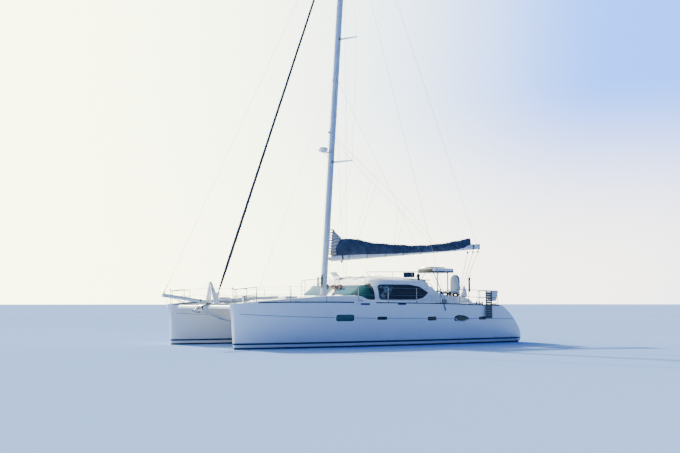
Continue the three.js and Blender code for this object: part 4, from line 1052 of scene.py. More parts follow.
def deck_gear(name, side):
    """Cleats, flush deck hatches, and the chainplate on each hull."""
    spots = [(6.9, .1), (2.0, .93), (-2.0, .96), (-5.45, .88), (-5.3, -.8)]
    cleats = [cleat(x, side * HULL_Y + side * y, deck_height(x, y) + .006) for x, y in spots]
    put(f"cleats_{name}", cleats, STEEL)
    surface = partial(on_deck, side=side)
    rings = [ring_at(x - .27, x + .27, y - .27, y + .27, .09) for x, y in ((3.5, 0), (2.25, .12))]
    put(f"deck_hatch_frames_{name}", [patch(inset(ring, -.03), surface, .016, .01) for ring in rings],
        ANODISED)
    put(f"deck_hatch_panes_{name}", [patch(inset(ring, .01), surface, .022, .006) for ring in rings],
        DARK_GLASS)
    foot = side * SHROUD_Y
    plate = block((-2.59, -2.3), (foot - .006, foot + .006), (1.55, 1.93), .003, .02)
    base = block((-2.66, -2.26), (foot - .05, foot + .05), (1.79, 1.806), .003, .02)
    put(f"chainplate_{name}", [plate, base], STEEL)
    strap = rounded([(-2.27, 1.78), (-2.33, 1.78), (-2.47, 1.47), (-2.37, 1.45)], .02, 4)
    put(f"chainplate_strap_{name}", patch(strap, partial(skin, side=side), .01, .004),
        GREY_PLASTIC)


for name, side in SIDES:
    make_hull(name, side)
    tread_pads(name, side)
    side_ports(name, side)
    edge_trim(name, side)
    deck_gear(name, side)


# Bridge deck, nacelle and the fittings forward.

bridge = put("bridge_deck_moulding", moulded(rounded(BRIDGE, .14, 7), -1.95, 1.95, axis="y"), GRIP,
             stands_for="bridge_deck")
cut(bridge, block((-5.3, -2.54), (-WELL_WALL, WELL_WALL), (1.15, 2.6), .03, .08))
cut(bridge, block((-2.54, .95), (-WELL_WALL, WELL_WALL), (.95, 2.6), .02, .06))


def bridge_z(x):
    """Height of the bridge deck's top along the centreline."""
    return np.interp(x, [-5.6, -2.6, 1.1, 1.66, 4.3], [1.7, 1.745, 1.9, 1.95, 1.9])


def on_bridge(x, y, up):
    """Points on the bridge deck, moved up by a little."""
    return np.stack([x, y, bridge_z(x) + up], -1)


def on_nacelle(x, y, up):
    """The same on the nacelle's sloping top."""
    return np.stack([x, y, np.interp(x, [4.48, 7], [1.79, 1.755]) + up], -1)


mast_step = [turned([(0, 0), (.25, 0), (.25, .02), (.2, .05), (.19, .082), (0, .082)], (1.36, 0, 1.945),
                    sides=36), block((1.14, 1.6), (-.2, .2), (1.9, 1.985), .015, .06)]
put("mast_step", mast_step, CREAM)
lockers = [patch(ring_at(x0, x1, s * y0, s * y1), on_bridge, .028, .015)
           for s in (1, -1) for x0, x1, y0, y1 in ((3.1, 4.15, .35, 1.25), (1.95, 2.75, .6, 1.5))]
put("foredeck_locker_lids", lockers, GRIP)
handles = [block((x - .05, x + .05), (s * y - .02, s * y + .02),
                 (float(bridge_z(x)) + .02, float(bridge_z(x)) + .036), .004, .015) for s in (1, -1)
           for x, y in ((4.05, .8), (2.68, 1.05))]
put("locker_latches", handles, STEEL)

put("nacelle_moulding", moulded(rounded(NACELLE, .09, 6), -.29, .29, .07, "y", 6), NACELLE_PAINTED_SHADE,
    stands_for="nacelle")
# Dark rubber rims round the nacelle's front, their dark also standing in for the shade on its edges.
rims = [tube(line((7.37, s * .2, 1.5), (7.34, s * .24, 1.68), (7.05, s * .25, 1.752),
                  (6.98, s * .25, 1.754), count=24), .014, 8) for s in (1, -1)]
put("nacelle_rims", rims, RUBBER)
lid = patch(ring_at(5.55, 6.35, -.2, .2), on_nacelle, .02, .01)
put("nacelle_lid", lid, GRIP)
beam_path = [(7.1, y, 1.62) for y in np.linspace(-2.72, 2.72, 9)]
beam_section = rounded([(-.08, -.07), (.08, -.07), (.08, .07), (-.08, .07)], .07, 6)
put("crossbeam_tube", sweep(beam_path, beam_section), ALLOY, stands_for="crossbeam")
sockets = [turned([(0, 0), (.13, 0), (.13, .03), (.1, .1), (.085, .1)], (7.1, s * 2.72, 1.62), (0, -s, 0),
                  24) for s in (1, -1)]
put("crossbeam_sockets", sockets, STEEL)
sprit_dir = unit(np.array([2.09, 0, .3]))
SPRIT_FOOT = (6.95, 0, 1.8)
sprit = [(0, 0), (.075, 0), (.075, 1.98), (.079, 1.985), (.079, 2.09), (.06, 2.111), (0, 2.111)]
put("bowsprit_tube", turned(sprit, SPRIT_FOOT, sprit_dir, 28), ALLOY, stands_for="bowsprit")
collars = [turned([(0, r - .03), (.092, r - .03), (.092, r + .03), (0, r + .03)], SPRIT_FOOT, sprit_dir,
                  28) for r in (.1, .42)]
eyes = [tube(SPRIT_FOOT + sprit_dir * 2.02 + np.array([(math.cos(a) * .035, 0, .1 + math.sin(a) * .035)
                                                       for a in around(12)]), .009, 8, True)]
put("bowsprit_fittings", gather(*collars, *eyes), STEEL)
stays = rods([((8.9, s * .07, 2.06), (7.32, s * 2.66, 1.15)) for s in (1, -1)]
             + [((6.9, s * .03, 2.62), (7.1, s * 2.45, 1.72)) for s in (1, -1)], .006, 8)
put("bowsprit_and_striker_stays", stays, WIRE)
swages = rods([((8.9 - .3 * 1.0, s * (.07 + .3 * 1.64), 2.06 - .3 * .576),
                (8.9 - .42, s * (.07 + .42 * 1.64), 2.06 - .42 * .576)) for s in (1, -1)], .016, 10)
put("sprit_turnbuckles", swages, STEEL)


def striker_cheek(side):
    """One leaning plate of the striker: an outline in fore-and-aft run and height that bows
    in to the apex, with a rounded rim."""
    outline = rounded([(6.66, 0), (6.94, 0), (6.95, .845), (6.85, .845)], .05, 6)
    points, faces = moulded(outline, -.022, .022, .008, "y")
    lean = np.interp(points[:, 2], [0, .86], [.385, .012])
    return points + np.stack([0 * lean, side * lean, 0 * lean + 1.785], -1), faces


put("striker_moulding", gather(striker_cheek(1), striker_cheek(-1),
                               block((6.6, 6.94), (-.43, .43), (1.745, 1.797), .012, .06)), GEL,
    stands_for="striker")
apex = [turned([(0, 0), (.05, 0), (.055, .03), (.04, .06), (0, .062)], (6.9, 0, 2.6), sides=20)]
put("striker_cap", apex, STEEL)


def trampoline(name, side):
    """A net of crossed cords. Each cord is a flat tube of four sides; its ends are hitched to
    a border rope that follows the hull, the beam, the nacelle and the bridge deck."""
    pitch = .055
    low, high = .32, HULL_Y - .02
    cords = []
    for x in np.arange(4.55, 6.99, pitch):
        reach = HULL_Y - float(edge_half(x)) - .015
        y = np.linspace(low, reach, 7)
        sag = -.016 * np.sin(np.pi * (y - low) / (reach - low)) * math.sin(math.pi * (x - 4.5) / 2.5)
        cords.append(tube(np.stack([np.full(7, x), side * y, 1.646 + sag], -1), .0035, 4))
    for y in np.arange(low + .02, high, pitch):
        inside = HULL_Y - np.array([float(edge_half(x)) for x in (4.55, 5, 5.6, 6.4, 7)])
        start = float(np.interp(y, inside, (4.55, 5, 5.6, 6.4, 7))) if y > inside[0] else 4.53
        x = np.linspace(start, 7.0, 7)
        sag = -.016 * math.sin(math.pi * (y - low) / (high - low)) * np.sin(np.pi * (x - 4.5) / 2.5)
        cords.append(tube(np.stack([x, np.full(7, side * y), 1.648 + sag], -1), .0035, 4))
    put(f"trampoline_net_{name}", cords, NET, stands_for=f"trampoline_{name}")
    x = np.linspace(4.53, 6.98, 20)
    along = np.stack([x, side * (HULL_Y - edge_half(x) - .01), 0 * x + 1.647], -1)
    loop = np.vstack([[(6.98, side * .33, 1.647), (4.53, side * .33, 1.647)], along])
    put(f"trampoline_border_{name}", tube(loop, .008, 8, True), BLUE_ROPE)
    lacing = [tube([(7.02 + .03, side * y, 1.66), (6.97, side * (y + .02), 1.647)], .004, 5)
              for y in np.arange(.4, 2.5, .12)]
    put(f"trampoline_lacing_{name}", lacing, PALE_ROPE)


for name, side in SIDES:
    trampoline(name, side)


# Coachroof with its windows.

def window_prism(axis, outline, near, far, side=1, margin=0.0, corner=.06):
    """A window's outline with round corners, carried along an axis."""
    ring = rounded(mitred(outline, margin), corner, 6)
    if axis == "y":
        return moulded(ring, *sorted((side * near, side * far)), axis="y")
    return moulded(ring * [side, 1], near, far, axis="x")


def window_tool(kind, side, margin):
    """What a pane is cut with: one prism, or two joined where it turns the corner."""
    if kind == "aft":
        return window_prism("y", SIDE_AFT_WINDOW, 1.95, 3.1, side, margin)
    first = put("window_tool", window_prism("x", FRONT_WINDOW, .25, 2.2, side, margin), RUBBER, body=None)
    cut(first, window_prism("y", SIDE_FRONT_WINDOW, 1.95, 3.1, side, margin), "UNION")
    shape = shape_of(first)
    bpy.data.objects.remove(first)
    return shape


def shape_of(piece):
    """A piece's mesh as a shape, all in triangles."""
    mesh = piece.data
    mesh.calc_loop_triangles()
    points = np.zeros(len(mesh.vertices) * 3)
    mesh.vertices.foreach_get("co", points)
    corners = np.zeros(len(mesh.loop_triangles) * 3, int)
    mesh.loop_triangles.foreach_get("vertices", corners)
    corners = corners.reshape(-1, 3)
    return points.reshape(-1, 3), level(corners, -1)


roof = put("coachroof_moulding", hollow(cabin_blank(0), cabin_blank(.06, -.04)), ROOF_WHITE_PAINTED_SHADE,
           stands_for="coachroof")
cut(roof, block((-4, 3), (-3, 3), (1.4, 1.66), 0, .02))
for kind, glass, (name, side) in [(*row, hand) for hand in SIDES
                                  for row in (("front", TEAL_GLASS), ("aft", SALOON_GLASS))]:
    cut(roof, window_tool(kind, side, 0))
    label = f"window_{kind}_{name}"
    pane = put(f"{label}_pane", hollow(cabin_blank(.006), cabin_blank(.03, -.05)), glass,
               stands_for=label)
    cut(pane, window_tool(kind, side, .004), "INTERSECT")
    frame_piece = put(f"{label}_frame", hollow(cabin_blank(-.005), cabin_blank(.035, -.05)), WINDOW_SEAL)
    cut(frame_piece, window_tool(kind, side, -.02), "INTERSECT")
    cut(frame_piece, window_tool(kind, side, .04))
cut(roof, block((-2.7, -2.5), (-1.15, -.15), (1.22, 2.54), 0, .04))
cut(roof, block((-.31, -.115), (-1.25, -.8), (2.5, 3.5), 0, .04))


def turned_about_y(degrees):
    """Turn about +Y, as a hatch lid opens."""
    c, s = math.cos(math.radians(degrees)), math.sin(math.radians(degrees))
    return [[c, 0, s], [0, 1, 0], [-s, 0, c]]


def opened(shape, hole):
    """A moulded form with another cut through it."""
    piece = put("opened_form", shape, RUBBER, body=None)
    cut(piece, hole)
    made = shape_of(piece)
    bpy.data.objects.remove(piece)
    return made


# Coachroof: door, open hatch, winches and the lines led to them.

door_frame = opened(block((-2.646, -2.606), (-1.2, -.1), (1.151, 2.58), .006, .04),
                    block((-2.7, -2.5), (-1.12, -.18), (1.24, 2.5), 0, .03))
put("door_frame", door_frame, ANODISED, "door", stands_for="saloon_door")
put("door_pane", block((-2.632, -2.62), (-1.13, -.17), (1.23, 2.51), .002, .03), DARK_GLASS, "door")
grip = tube(line((-2.65, -.17, 1.75), (-2.69, -.17, 1.78), (-2.69, -.17, 2.02), (-2.65, -.17, 2.05),
                 count=14), .009)
put("door_handle", grip, STEEL, "door")
tracks = [block((-2.66, -2.6), (-1.3, 1.0), (z0, z1), .004, .01) for z0,
          z1 in ((1.142, 1.152), (2.59, 2.61))]
put("door_tracks", tracks, ANODISED)

coaming_ring = opened(block((-.36, -.03), (-1.3, -.75), (2.7, 2.957), .02, .05),
                      block((-.31, -.115), (-1.25, -.8), (2.5, 3.1), 0, .03))
put("roof_hatch_coaming", coaming_ring, GEL)
ears = [block((-.07, -.03), sorted((y, y + w)), (2.93, 2.996), .006, .015)
        for y, w in ((-1.3, .019), (-.769, .019))]
put("roof_hatch_ears", ears, STEEL)


def on_hatch(shape):
    """A form drawn flat round the roof hatch's pin, turned up to where the lid stands."""
    return moved(shape, turned_about_y(130), (-.05, 0, 2.98))


lid_frame = opened(block((-.3, 0), (-1.28, -.77), (-.015, .015), .006, .05),
                   block((-.262, -.04), (-1.24, -.81), (-.1, .1), 0, .03))
bar = tube([(-.05, -1.28, 2.98), (-.05, -.77, 2.98)], .013, 12)
put("roof_hatch_frame", gather(on_hatch(lid_frame), bar), PALE_PLASTIC, "roof_hatch",
    stands_for="roof_hatch_lid")
put("roof_hatch_pane", on_hatch(block((-.267, -.035), (-1.245, -.805), (-.006, .006), .002, .03)),
    SMOKE_GLASS, "roof_hatch")
dog = [(0, 0), (.012, 0), (.012, .02), (.026, .022), (.026, .03), (0, .032)]
dogs = [on_hatch(turned(dog, (-.235, y, -.044), sides=12)) for y in (-1.15, -.9)]
put("roof_hatch_dogs", dogs, RUBBER, "roof_hatch")


def winch(x, y, z, size=1.0):
    """A winch drum: a profile that narrows to a waist, a grooved self-tailing top."""
    drum = [(0, 0), (.085, 0), (.086, .02), (.08, .03), (.068, .05), (.058, .09), (.056, .13),
            (.062, .17), (.074, .19), (.076, .2), (.06, .207), (.06, .215), (.077, .222), (.078, .24),
            (.05, .25), (.03, .252), (.02, .262), (0, .262)]
    return turned([(r * size, h * size) for r, h in drum], (x, y, z), sides=28)


drums = [winch(-2.34, s * 2.1, 2.79, 1.1)
         for s in (1, -1)] + [winch(-3.9, s * 2.43, 2.1, .75) for s in (1, -1)]
put("winches", drums, BLACK_METAL)
bases = [turned([(0, -.1), (.12, -.1), (.11, .0), (.1, .004), (0, .004)], (-2.34, s * 2.1, 2.79),
                sides=28) for s in (1, -1)]
put("winch_bases", bases, GEL)
clutches = [block((-2.06, -1.9), (s * y - .018, s * y + .018), (2.84, 2.9), .008, .02)
            for s in (1, -1) for y in (1.3, 1.345, 1.39)]
put("rope_clutches", clutches, GREY_PLASTIC)


def roof_line(y_end, y_start, side):
    """A line led over the coachroof: a path that rests 8 mm above it."""
    x = np.linspace(.1, -1.9, 22)
    y = side * np.interp(x, [-1.9, .1], [y_end, y_start])
    z = [roof_z(a, b) + .014 for a, b in zip(x, y)]
    return np.vstack([[(1.12, side * .22, 2.07)], np.stack([x, y, z], -1)])


for k, (y, finish) in enumerate(((1.3, PALE_ROPE), (1.345, RED_ROPE), (1.39, BLUE_ROPE))):
    lines = [tube(roof_line(y, .5 + .04 * k, s), .006, 6) for s in (1, -1)]
    put(f"led_lines_{k}", lines, finish)
sheave = [(0, 0), (.03, 0), (.03, .008), (.02, .014), (.03, .02), (.03, .028), (0, .028)]
organisers = [turned(sheave, (1.2, s * .22, 2.04), sides=16) for s in (1, -1)]
put("turning_blocks", organisers, BLACK_METAL)

wall = block((-1.95, .9), (-1.58, 1.58), (.951, .962), .002, .05)
put("saloon_floor", wall, CABIN_WOOD)
settee = [block((-1.9, .7), (-1.59, -1.0), (.952, 1.33), .02, .06),
          block((.2, .7), (-1.0, .8), (.952, 1.33), .02, .06)]
put("settee_base", settee, CABIN_WOOD, stands_for="saloon_settee")


def cushion(x, y, z, crown=.03, corner=.05):
    """A stuffed pad: a rounded outline whose top rises to a crown as one less the fourth
    power of the way out, over a pinched seam at its rim."""
    ring = rounded([(x[1], y[1]), (x[1], y[0]), (x[0], y[0]), (x[0], y[1])], corner, 7)
    middle = ring.mean(0)
    rows = []
    half = (z[1] - z[0]) / 2
    turn = np.linspace(-np.pi / 2, np.pi / 2, 13)
    for a in turn:
        swell = .035 * (np.cos(a) ** .6) * half / .06
        rows.append(level(inset(ring, .03 - min(swell, .03)), z[0] + half + half * math.sin(a) * .8))
    top = []
    for share in (.93, .8, .62, .42, .2, .04):
        spot = middle + (inset(ring, .03) - middle) * share
        rise = half * .8 + crown * (1 - share ** 4)
        top.append(level(spot, z[0] + half + rise))
    bottom = [level(middle + (inset(ring, .03) - middle) * share, z[0] + .1 * half)
              for share in (.5, .95)]
    return loft(np.array(bottom + rows + top))


def piped(x, y, z, corner=.05):
    """A cord round a cushion's outline at one height."""
    ring = rounded([(x[1], y[1]), (x[1], y[0]), (x[0], y[0]), (x[0], y[1])], corner, 7)
    return tube(level(inset(ring, -.002), z), .006, 6, True)


def pads(name, boxes, crown=.025):
    """Seat cushions with a piped seam round each. Columns: x, y and z limits."""
    for k, (x, y, z) in enumerate(boxes):
        pad = put(f"{name}_{k}", cushion(x, y, z, crown), SEATING_WITH_SHADE, crease=80)
    seams = [piped(x, y, (z[0] + z[1]) / 2) for x, y, z in boxes]
    put(f"{name}_piping", seams, PIPING)


pads("settee_cushion", [((-1.88, -.62), (-1.57, -1.02), (1.32, 1.42)),
                        ((-.6, .68), (-1.57, -1.02), (1.32, 1.42)),
                        ((.22, .68), (-.99, .78), (1.32, 1.42))])

# Cockpit.

for name, side in SIDES:
    y = sorted((side * 2.3, side * 2.56))
    shape = moulded(rounded(COAMING, .09, 6), *y, edge=.05, axis="y", steps=6)
    put(f"coaming_{name}_moulding", shape, GEL, stands_for=f"coaming_{name}")
bench = rounded([(-5.29, -1.59), (-3.15, -1.59), (-3.15, -1.05), (-4.78, -1.05), (-4.78, .9),
                 (-5.29, .9)], .06, 5)
put("bench_base", moulded(bench, 1.151, 1.52, .015), GEL, stands_for="cockpit_bench")
pads("bench_cushion", [((-4.72, -3.96), (-1.58, -1.06), (1.515, 1.63)),
                       ((-3.94, -3.17), (-1.58, -1.06), (1.515, 1.63)),
                       ((-5.28, -4.79), (-1.58, -.78), (1.515, 1.63)),
                       ((-5.28, -4.79), (-.76, .05), (1.515, 1.63)),
                       ((-5.28, -4.79), (.07, .88), (1.515, 1.63))])
pads("bench_back", [((-4.7, -3.96), (-1.6, -1.5), (1.65, 1.78)),
                    ((-3.94, -3.2), (-1.6, -1.5), (1.65, 1.78))], .01)
slats = [block((-4.45, -3.45), (y, y + .112), (1.795, 1.825), .006, .03)
         for y in np.arange(-.88, -.13, .127)]
put("table_top", slats, TEAK, stands_for="cockpit_table")
leg = turned([(0, 0), (.16, 0), (.16, .012), (.06, .03), (.05, .06), (.05, .6), (.09, .63), (.09, .645),
              (0, .645)], (-3.95, -.5, 1.151), sides=28)
battens = [block((x - .03, x + .03), (-.86, -.14), (1.775, 1.797), .004, .01)
           for x in (-4.3, -3.95, -3.6)]
put("table_leg", gather(leg, *battens), ALLOY)
put("cockpit_sole", block((-4.7, -2.72), (-1.0, .95), (1.149, 1.166), .003, .08), TEAK)

CONSOLE = [(-2.83, 1.15), (-2.83, 2.86), (-3.11, 2.86), (-3.44, 2.5), (-3.44, 1.15)]
put("console_moulding", moulded(rounded(CONSOLE, .06, 6), 1.01, 1.6, .03, "y", 5), CONSOLE_GREY,
    stands_for="helm_console")
put("console_hood", block((-3.5, -2.9), (1.03, 1.58), (2.805, 2.85), .012, .05), CONSOLE_GREY)
FACE = unit(np.array([-.36, 0, .33]))
FACE_DOWN = unit(np.array([-.33, 0, -.36]))
FACE_AT = np.array([-3.275, 1.305, 2.68])


def on_console(shape):
    """A form drawn flat, x down the sloping face, y to port and z out of it."""
    return moved(shape, np.stack([FACE_DOWN, [0, 1, 0], FACE], 1), FACE_AT)


bezels = [on_console(block((-.11, .11), (y - .12, y + .12), (-.01, .014), .005, .02))
          for y in (-.14, .13)]
put("instrument_bezels", bezels, RUBBER)
screens = [on_console(block((-.085, .075), (y - .1, y + .1), (0, .016), .001, .01)) for y in (-.14, .13)]
put("instrument_screens", screens, SCREEN)
dials = [turned([(0, 0), (.035, 0), (.036, .008), (.03, .012), (0, .01)], (-3.442, y, 2.36), (-1, 0, 0),
                24) for y in (1.08, 1.5)]
put("engine_dials", dials, RUBBER)
dome = [(0, 0), (.085, 0), (.085, .015), (.07, .03), (.065, .055), (.045, .08), (.02, .09), (0, .091)]
put("compass", turned(dome, (-2.98, 1.3, 2.858), sides=28), SCREEN)
levers = [tube(line((-3.2, 1.6, 2.45), (-3.2, 1.64, 2.46), (-3.22, 1.65, 2.55), (-3.24, 1.65, 2.62),
                    count=12), .009, 8), turned([(0, 0), (.018, .004), (.02, .02), (.014, .04),
                                                 (0, .045)], (-3.24, 1.65, 2.6), sides=14),
          turned([(0, 0), (.05, 0), (.045, .03), (0, .03)], (-3.2, 1.598, 2.45), (0, 1, 0), 20)]
put("throttle", levers, STEEL)

ring = [(-3.53, 1.3 + .38 * math.sin(a), 2.33 + .38 * math.cos(a)) for a in around(48)]
put("wheel_rim", tube(ring, .016, 12, True), RUBBER, "wheel")
spokes = [((-3.53, 1.3, 2.33), (-3.53, 1.3 + .375 * math.sin(a), 2.33 + .375 * math.cos(a)))
          for a in np.arange(5) * 2 * np.pi / 5]
hub = turned([(0, 0), (.03, 0), (.045, .01), (.045, .03), (.03, .045), (.03, .109), (0, .109)],
             (-3.55, 1.3, 2.33), (1, 0, 0), 20)
put("wheel_spokes", gather(rods(spokes, .009, 8), hub), STEEL, "wheel", stands_for="steering_wheel")

pedestal = turned([(0, 0), (.14, 0), (.14, .015), (.07, .04), (.06, .08), (.06, .56), (.1, .6), (0, .6)],
                  (-4.43, 1.86, 1.66), sides=28)
put("seat_pedestal", pedestal, ALLOY, stands_for="helm_seat")
put("seat_pan", gather(block((-4.73, -4.2), (1.58, 2.14), (2.2, 2.25), .015, .08),
                       block((-4.75, -4.7), (1.63, 2.09), (2.2, 2.8), .015, .06)), GREY_PLASTIC)
pads("helm_seat_cushion", [((-4.66, -4.2), (1.57, 2.15), (2.245, 2.36))], .02)


def seat_back():
    """The helm seat's padded back: an arched outline, swollen most at its middle."""
    arc = [(1.86 + .3 * math.cos(a), 2.8 + .29 * math.sin(a)) for a in np.linspace(0, np.pi, 17)]
    outline = np.array([(1.56, 2.34), (2.16, 2.34)] + arc)
    middle = outline.mean(0)
    rows = []
    for a in np.linspace(-np.pi / 2, np.pi / 2, 15):
        spot = middle + (outline - middle) * (.86 + .14 * math.cos(a) ** .5)
        rows.append(np.column_stack([np.full(len(spot), -4.7 + .055 * math.sin(a)), spot]))
    lowest = rows[0] * [1, 0, 0] + np.column_stack([0 * spot[:, :1], middle + (spot - middle) * .5])
    highest = rows[-1] + [.012, 0, 0]
    highest[:, 1:] = middle + (spot - middle) * .5
    return loft(np.array([lowest, *rows, highest]))


back = put("helm_seat_back", seat_back(), SEATING_WITH_SHADE, crease=80)

# Small hardtop over the helm: x and y limits, underside, top of its sides, crown.

TOP_X = (-4.38, -3.15)
TOP_Y = (1.0, 2.2)
TOP_LOW = 3.16
TOP_SIDE = .19
TOP_CROWN = .235


def top_outline(corner=.12):
    """The hardtop's outline from above, its corners rounded."""
    return rounded([(TOP_X[1], TOP_Y[1]), (TOP_X[1], TOP_Y[0]), (TOP_X[0], TOP_Y[0]),
                    (TOP_X[0], TOP_Y[1])], corner, 8)


def hardtop_skin():
    """A crowned slab: its underside is recessed behind a lip, its sides stand straight with
    rounded rims, and its top rises to the crown as one less a power of the way out."""
    ring = top_outline()
    middle = ring.mean(0)
    sides = ((.07, .055), (.05, .01), (.03, 0), (.006, .012), (0, .035),
             (0, TOP_SIDE - .03), (.01, TOP_SIDE - .008), (.035, TOP_SIDE))
    levels = [level(inset(ring, m), TOP_LOW + h) for m, h in sides]
    for share in (.88, .7, .5, .3, .1):
        spot = middle + (inset(ring, .03) - middle) * share
        rise = TOP_SIDE + (TOP_CROWN - TOP_SIDE) * (1 - share ** 2.5)
        levels.append(level(spot, TOP_LOW + rise))
    return loft(levels)


def top_skirt():
    """A canvas skirt rolled up under the slab's lip: a thin wall that follows its outline and
    ripples by the sine of the way round."""
    ring = inset(top_outline(), .004)
    way = around(len(ring))
    rings = []
    for margin, h in ((.03, .08), (.03, .012), (.012, -.004), (-.004, .01), (-.006, .05), (-.003, .078),
                      (.01, .084)):
        ripple = .002 * np.sin(way * 23 + h * 40)
        rings.append(np.column_stack([inset(ring, margin), TOP_LOW + h + ripple]))
    return outward(grid(np.array(rings), around=True, along=True))


put("hardtop", hardtop_skin(), GEL, stands_for="helm_roof")
put("hardtop_skirt", top_skirt(), NAVY)
front = block((TOP_X[1] - .004, TOP_X[1] + .012), (TOP_Y[0] + .08, TOP_Y[1] - .08), (3.2, 3.335), .004,
              .008)
put("hardtop_front_screen", front, RUBBER)
put("solar_panel", block((-4.02, -3.21), (1.26, 1.94), (3.385, 3.42), .006, .02), PANEL_CELLS)
edge = inset(rounded([(-3.21, 1.94), (-3.21, 1.26), (-4.02, 1.26), (-4.02, 1.94)], .02, 3), -.004)
put("solar_panel_frame", tube(level(edge, 3.408), .011, 6, True), ANODISED)
POSTS = [((-2.96, 1.08, 2.85), (-3.2, 1.08, 3.18)), ((-2.96, 1.54, 2.85), (-3.2, 1.54, 3.18)),
         ((-3.52, 2.43, 2.08), (-3.18, 2.12, 3.18))]
AFT_POSTS = [((-4.3, 1.08, 1.15), (-4.3, 1.08, 3.18)), ((-4.0, 2.15, 1.7), (-4.0, 2.15, 3.18))]
flange = [(0, 0), (.05, 0), (.05, .006), (.026, .02), (0, .02)]
flanges = [turned(flange, foot, (0, 0, 1), 16) for foot, head in POSTS + AFT_POSTS]
put("hardtop_posts", gather(rods(POSTS, .019, 12), *flanges), RAIL_STEEL)
put("hardtop_aft_posts", rods(AFT_POSTS, .034, 14), ALLOY)

# Rails.

RAIL_TOP = .008
RAIL_RADIUS = .015


def rail_points(side):
    """Each stanchion's x, y, foot height and rise, just inside the deck edge."""
    x, rise = np.array(STANCHIONS).T
    return x, side * (HULL_Y + edge_half(x) - .045), sheer(x), rise


def make_rails(name, side):
    """Stanchions with feet, two wires between them, and welded frames at bow and stern whose
    top tubes run in one smooth line from post to post."""
    x, y, foot, rise = rail_points(side)
    top, mid = foot + rise - RAIL_TOP, foot + .5 * rise
    thin_tube = RAIL_RADIUS * .85

    def at(i, level_z, out=0.0):
        """A post's place at its own height of a row of heights, moved inboard by a little."""
        return x[i], y[i] - side * out, level_z[i]

    def inner(a, share):
        """How far out a post stands on the inner side, as a share of the edge there."""
        return side * (HULL_Y - share * (float(edge_half(a)) - .045))

    spots = range(len(x))
    parts = [tube([(x[i], y[i], foot[i] - .02), (x[i], y[i], top[i] + .012)], RAIL_RADIUS, 10)
             for i in spots]
    shoe = [(0, 0), (.04, 0), (.04, .006), (.02, .012), (.017, .06), (0, .06)]
    parts += [turned(shoe, (x[i], y[i], foot[i] + .002), sides=16) for i in spots]
    aft_y = inner(x[-1], .35)
    bow_posts = ((6.6, inner(6.6, .8), 2.34), (7.33, inner(7.33, .8), top[0]))
    bow = [*bow_posts, (7.36, side * HULL_Y, top[0] + .005), at(0, top), at(1, top)]
    bow_mid = [(6.6, inner(6.6, .8), 2.06), (7.33, inner(7.33, .8), mid[0]), at(0, mid), at(1, mid)]
    aft = [at(-2, top), (x[-1] + .05, y[-1], top[-1]), at(-1, top, .05), (x[-1], aft_y, top[-1])]
    parts += [tube(line(*bow, count=40), RAIL_RADIUS, 10), tube(line(*bow_mid, count=40), thin_tube, 8)]
    for px, py, pz in bow_posts:
        low = deck_height(px, abs(py) - HULL_Y)
        parts.append(tube([(px, py, low - .02), (px, py, pz)], RAIL_RADIUS, 10))
    parts += [tube(line(*aft, count=40), RAIL_RADIUS, 10),
              tube([at(-2, mid), at(-1, mid)], thin_tube, 8),
              tube([at(-1, mid), (x[-1], aft_y, mid[-1])], thin_tube, 8),
              tube([(x[-1], aft_y, foot[-1] - .02), (x[-1], aft_y, top[-1])], RAIL_RADIUS, 10),
              tube([at(-3, top), at(-2, top)], RAIL_RADIUS, 10),
              tube([at(-3, mid), at(-2, mid)], thin_tube, 10)]
    put(f"rail_posts_{name}", parts, RAIL_STEEL, stands_for=f"rail_{name}")
    t = np.linspace(0, 1, 6)[:, None]
    droop = [0, 0, .008] * (4 * t * (1 - t))
    wires = [tube(mix(np.array(at(i, height)), np.array(at(i + 1, height)), t) - droop, .005, 6)
             for height in (top, mid) for i in range(1, len(x) - 3)]
    put(f"lifelines_{name}", wires, WIRE)


def guard_top(x):
    """Height of the mast guard's top tube, which rises aft."""
    return 2.78 + .16 * (1.65 - x) / 1.59


def mast_guard(name, side):
    """A bent tube from the deck past the mast to the coachroof, with a second leg."""
    def at(x, z):
        """A point in the guard's own upright plane."""
        return x, side * 1.35, z

    rail = line(at(1.65, 1.93), at(1.65, 2.7), at(1.6, guard_top(1.6)), at(.1, guard_top(.1)),
                at(.06, 2.87), at(.06, 2.78), count=50)
    parts = [tube(rail, .014, 10), tube([at(1.45, 1.92), at(1.45, guard_top(1.45))], .014, 10),
             tube([at(1.65, 2.35), at(1.45, 2.37)], .011, 8)]
    flange = [(0, 0), (.045, 0), (.045, .006), (.02, .018), (0, .018)]
    parts += [turned(flange, at(x, bridge_z(x)), sides=16) for x in (1.65, 1.45)]
    put(f"mast_guard_tube_{name}", parts, RAIL_STEEL, stands_for=f"mast_guard_{name}")


def rail_z(x):
    """Height of the coachroof's rail, which rises aft."""
    return 3.13 + .07 * (.25 - x) / 3.4


for name, side in SIDES:
    make_rails(name, side)
    mast_guard(name, side)

roof_tube = line((-.08, 1.7, 2.86), (.2, 1.7, 3.07), (.23, 1.7, 3.125), (.1, 1.7, rail_z(.1)),
                 (-1.2, 1.7, rail_z(-1.2)), (-2.3, 1.7, rail_z(-2.3)), (-3.15, 1.7, rail_z(-3.15)),
                 count=70)
feet = [((x, 1.7, roof_z(x, 1.7) - .03), (x, 1.7, rail_z(x))) for x in (-1.2, -2.3)]
put("roof_rail_tube", gather(tube(roof_tube, .014, 10), rods(feet, .014, 10)), STEEL,
    stands_for="roof_rail")
hand = [line((x0, y, roof_z(x0, y)), (x0 - .05, y, roof_z(x0, y) + .07),
             (x1 + .05, y, roof_z(x1, y) + .07), (x1, y, roof_z(x1, y)), count=30) for y in (1.15, -1.15)
        for x0, x1 in ((-.6, -1.1),)]
put("roof_handrails", [tube(path, .011, 8) for path in hand], STEEL)

# Mast. Its own frame: height along it, width across it.

def mast_x(z):
    """The raked mast's middle at a height."""
    return MAST_FOOT[0] - MAST_RAKE * (np.asarray(z) - MAST_FOOT[2])


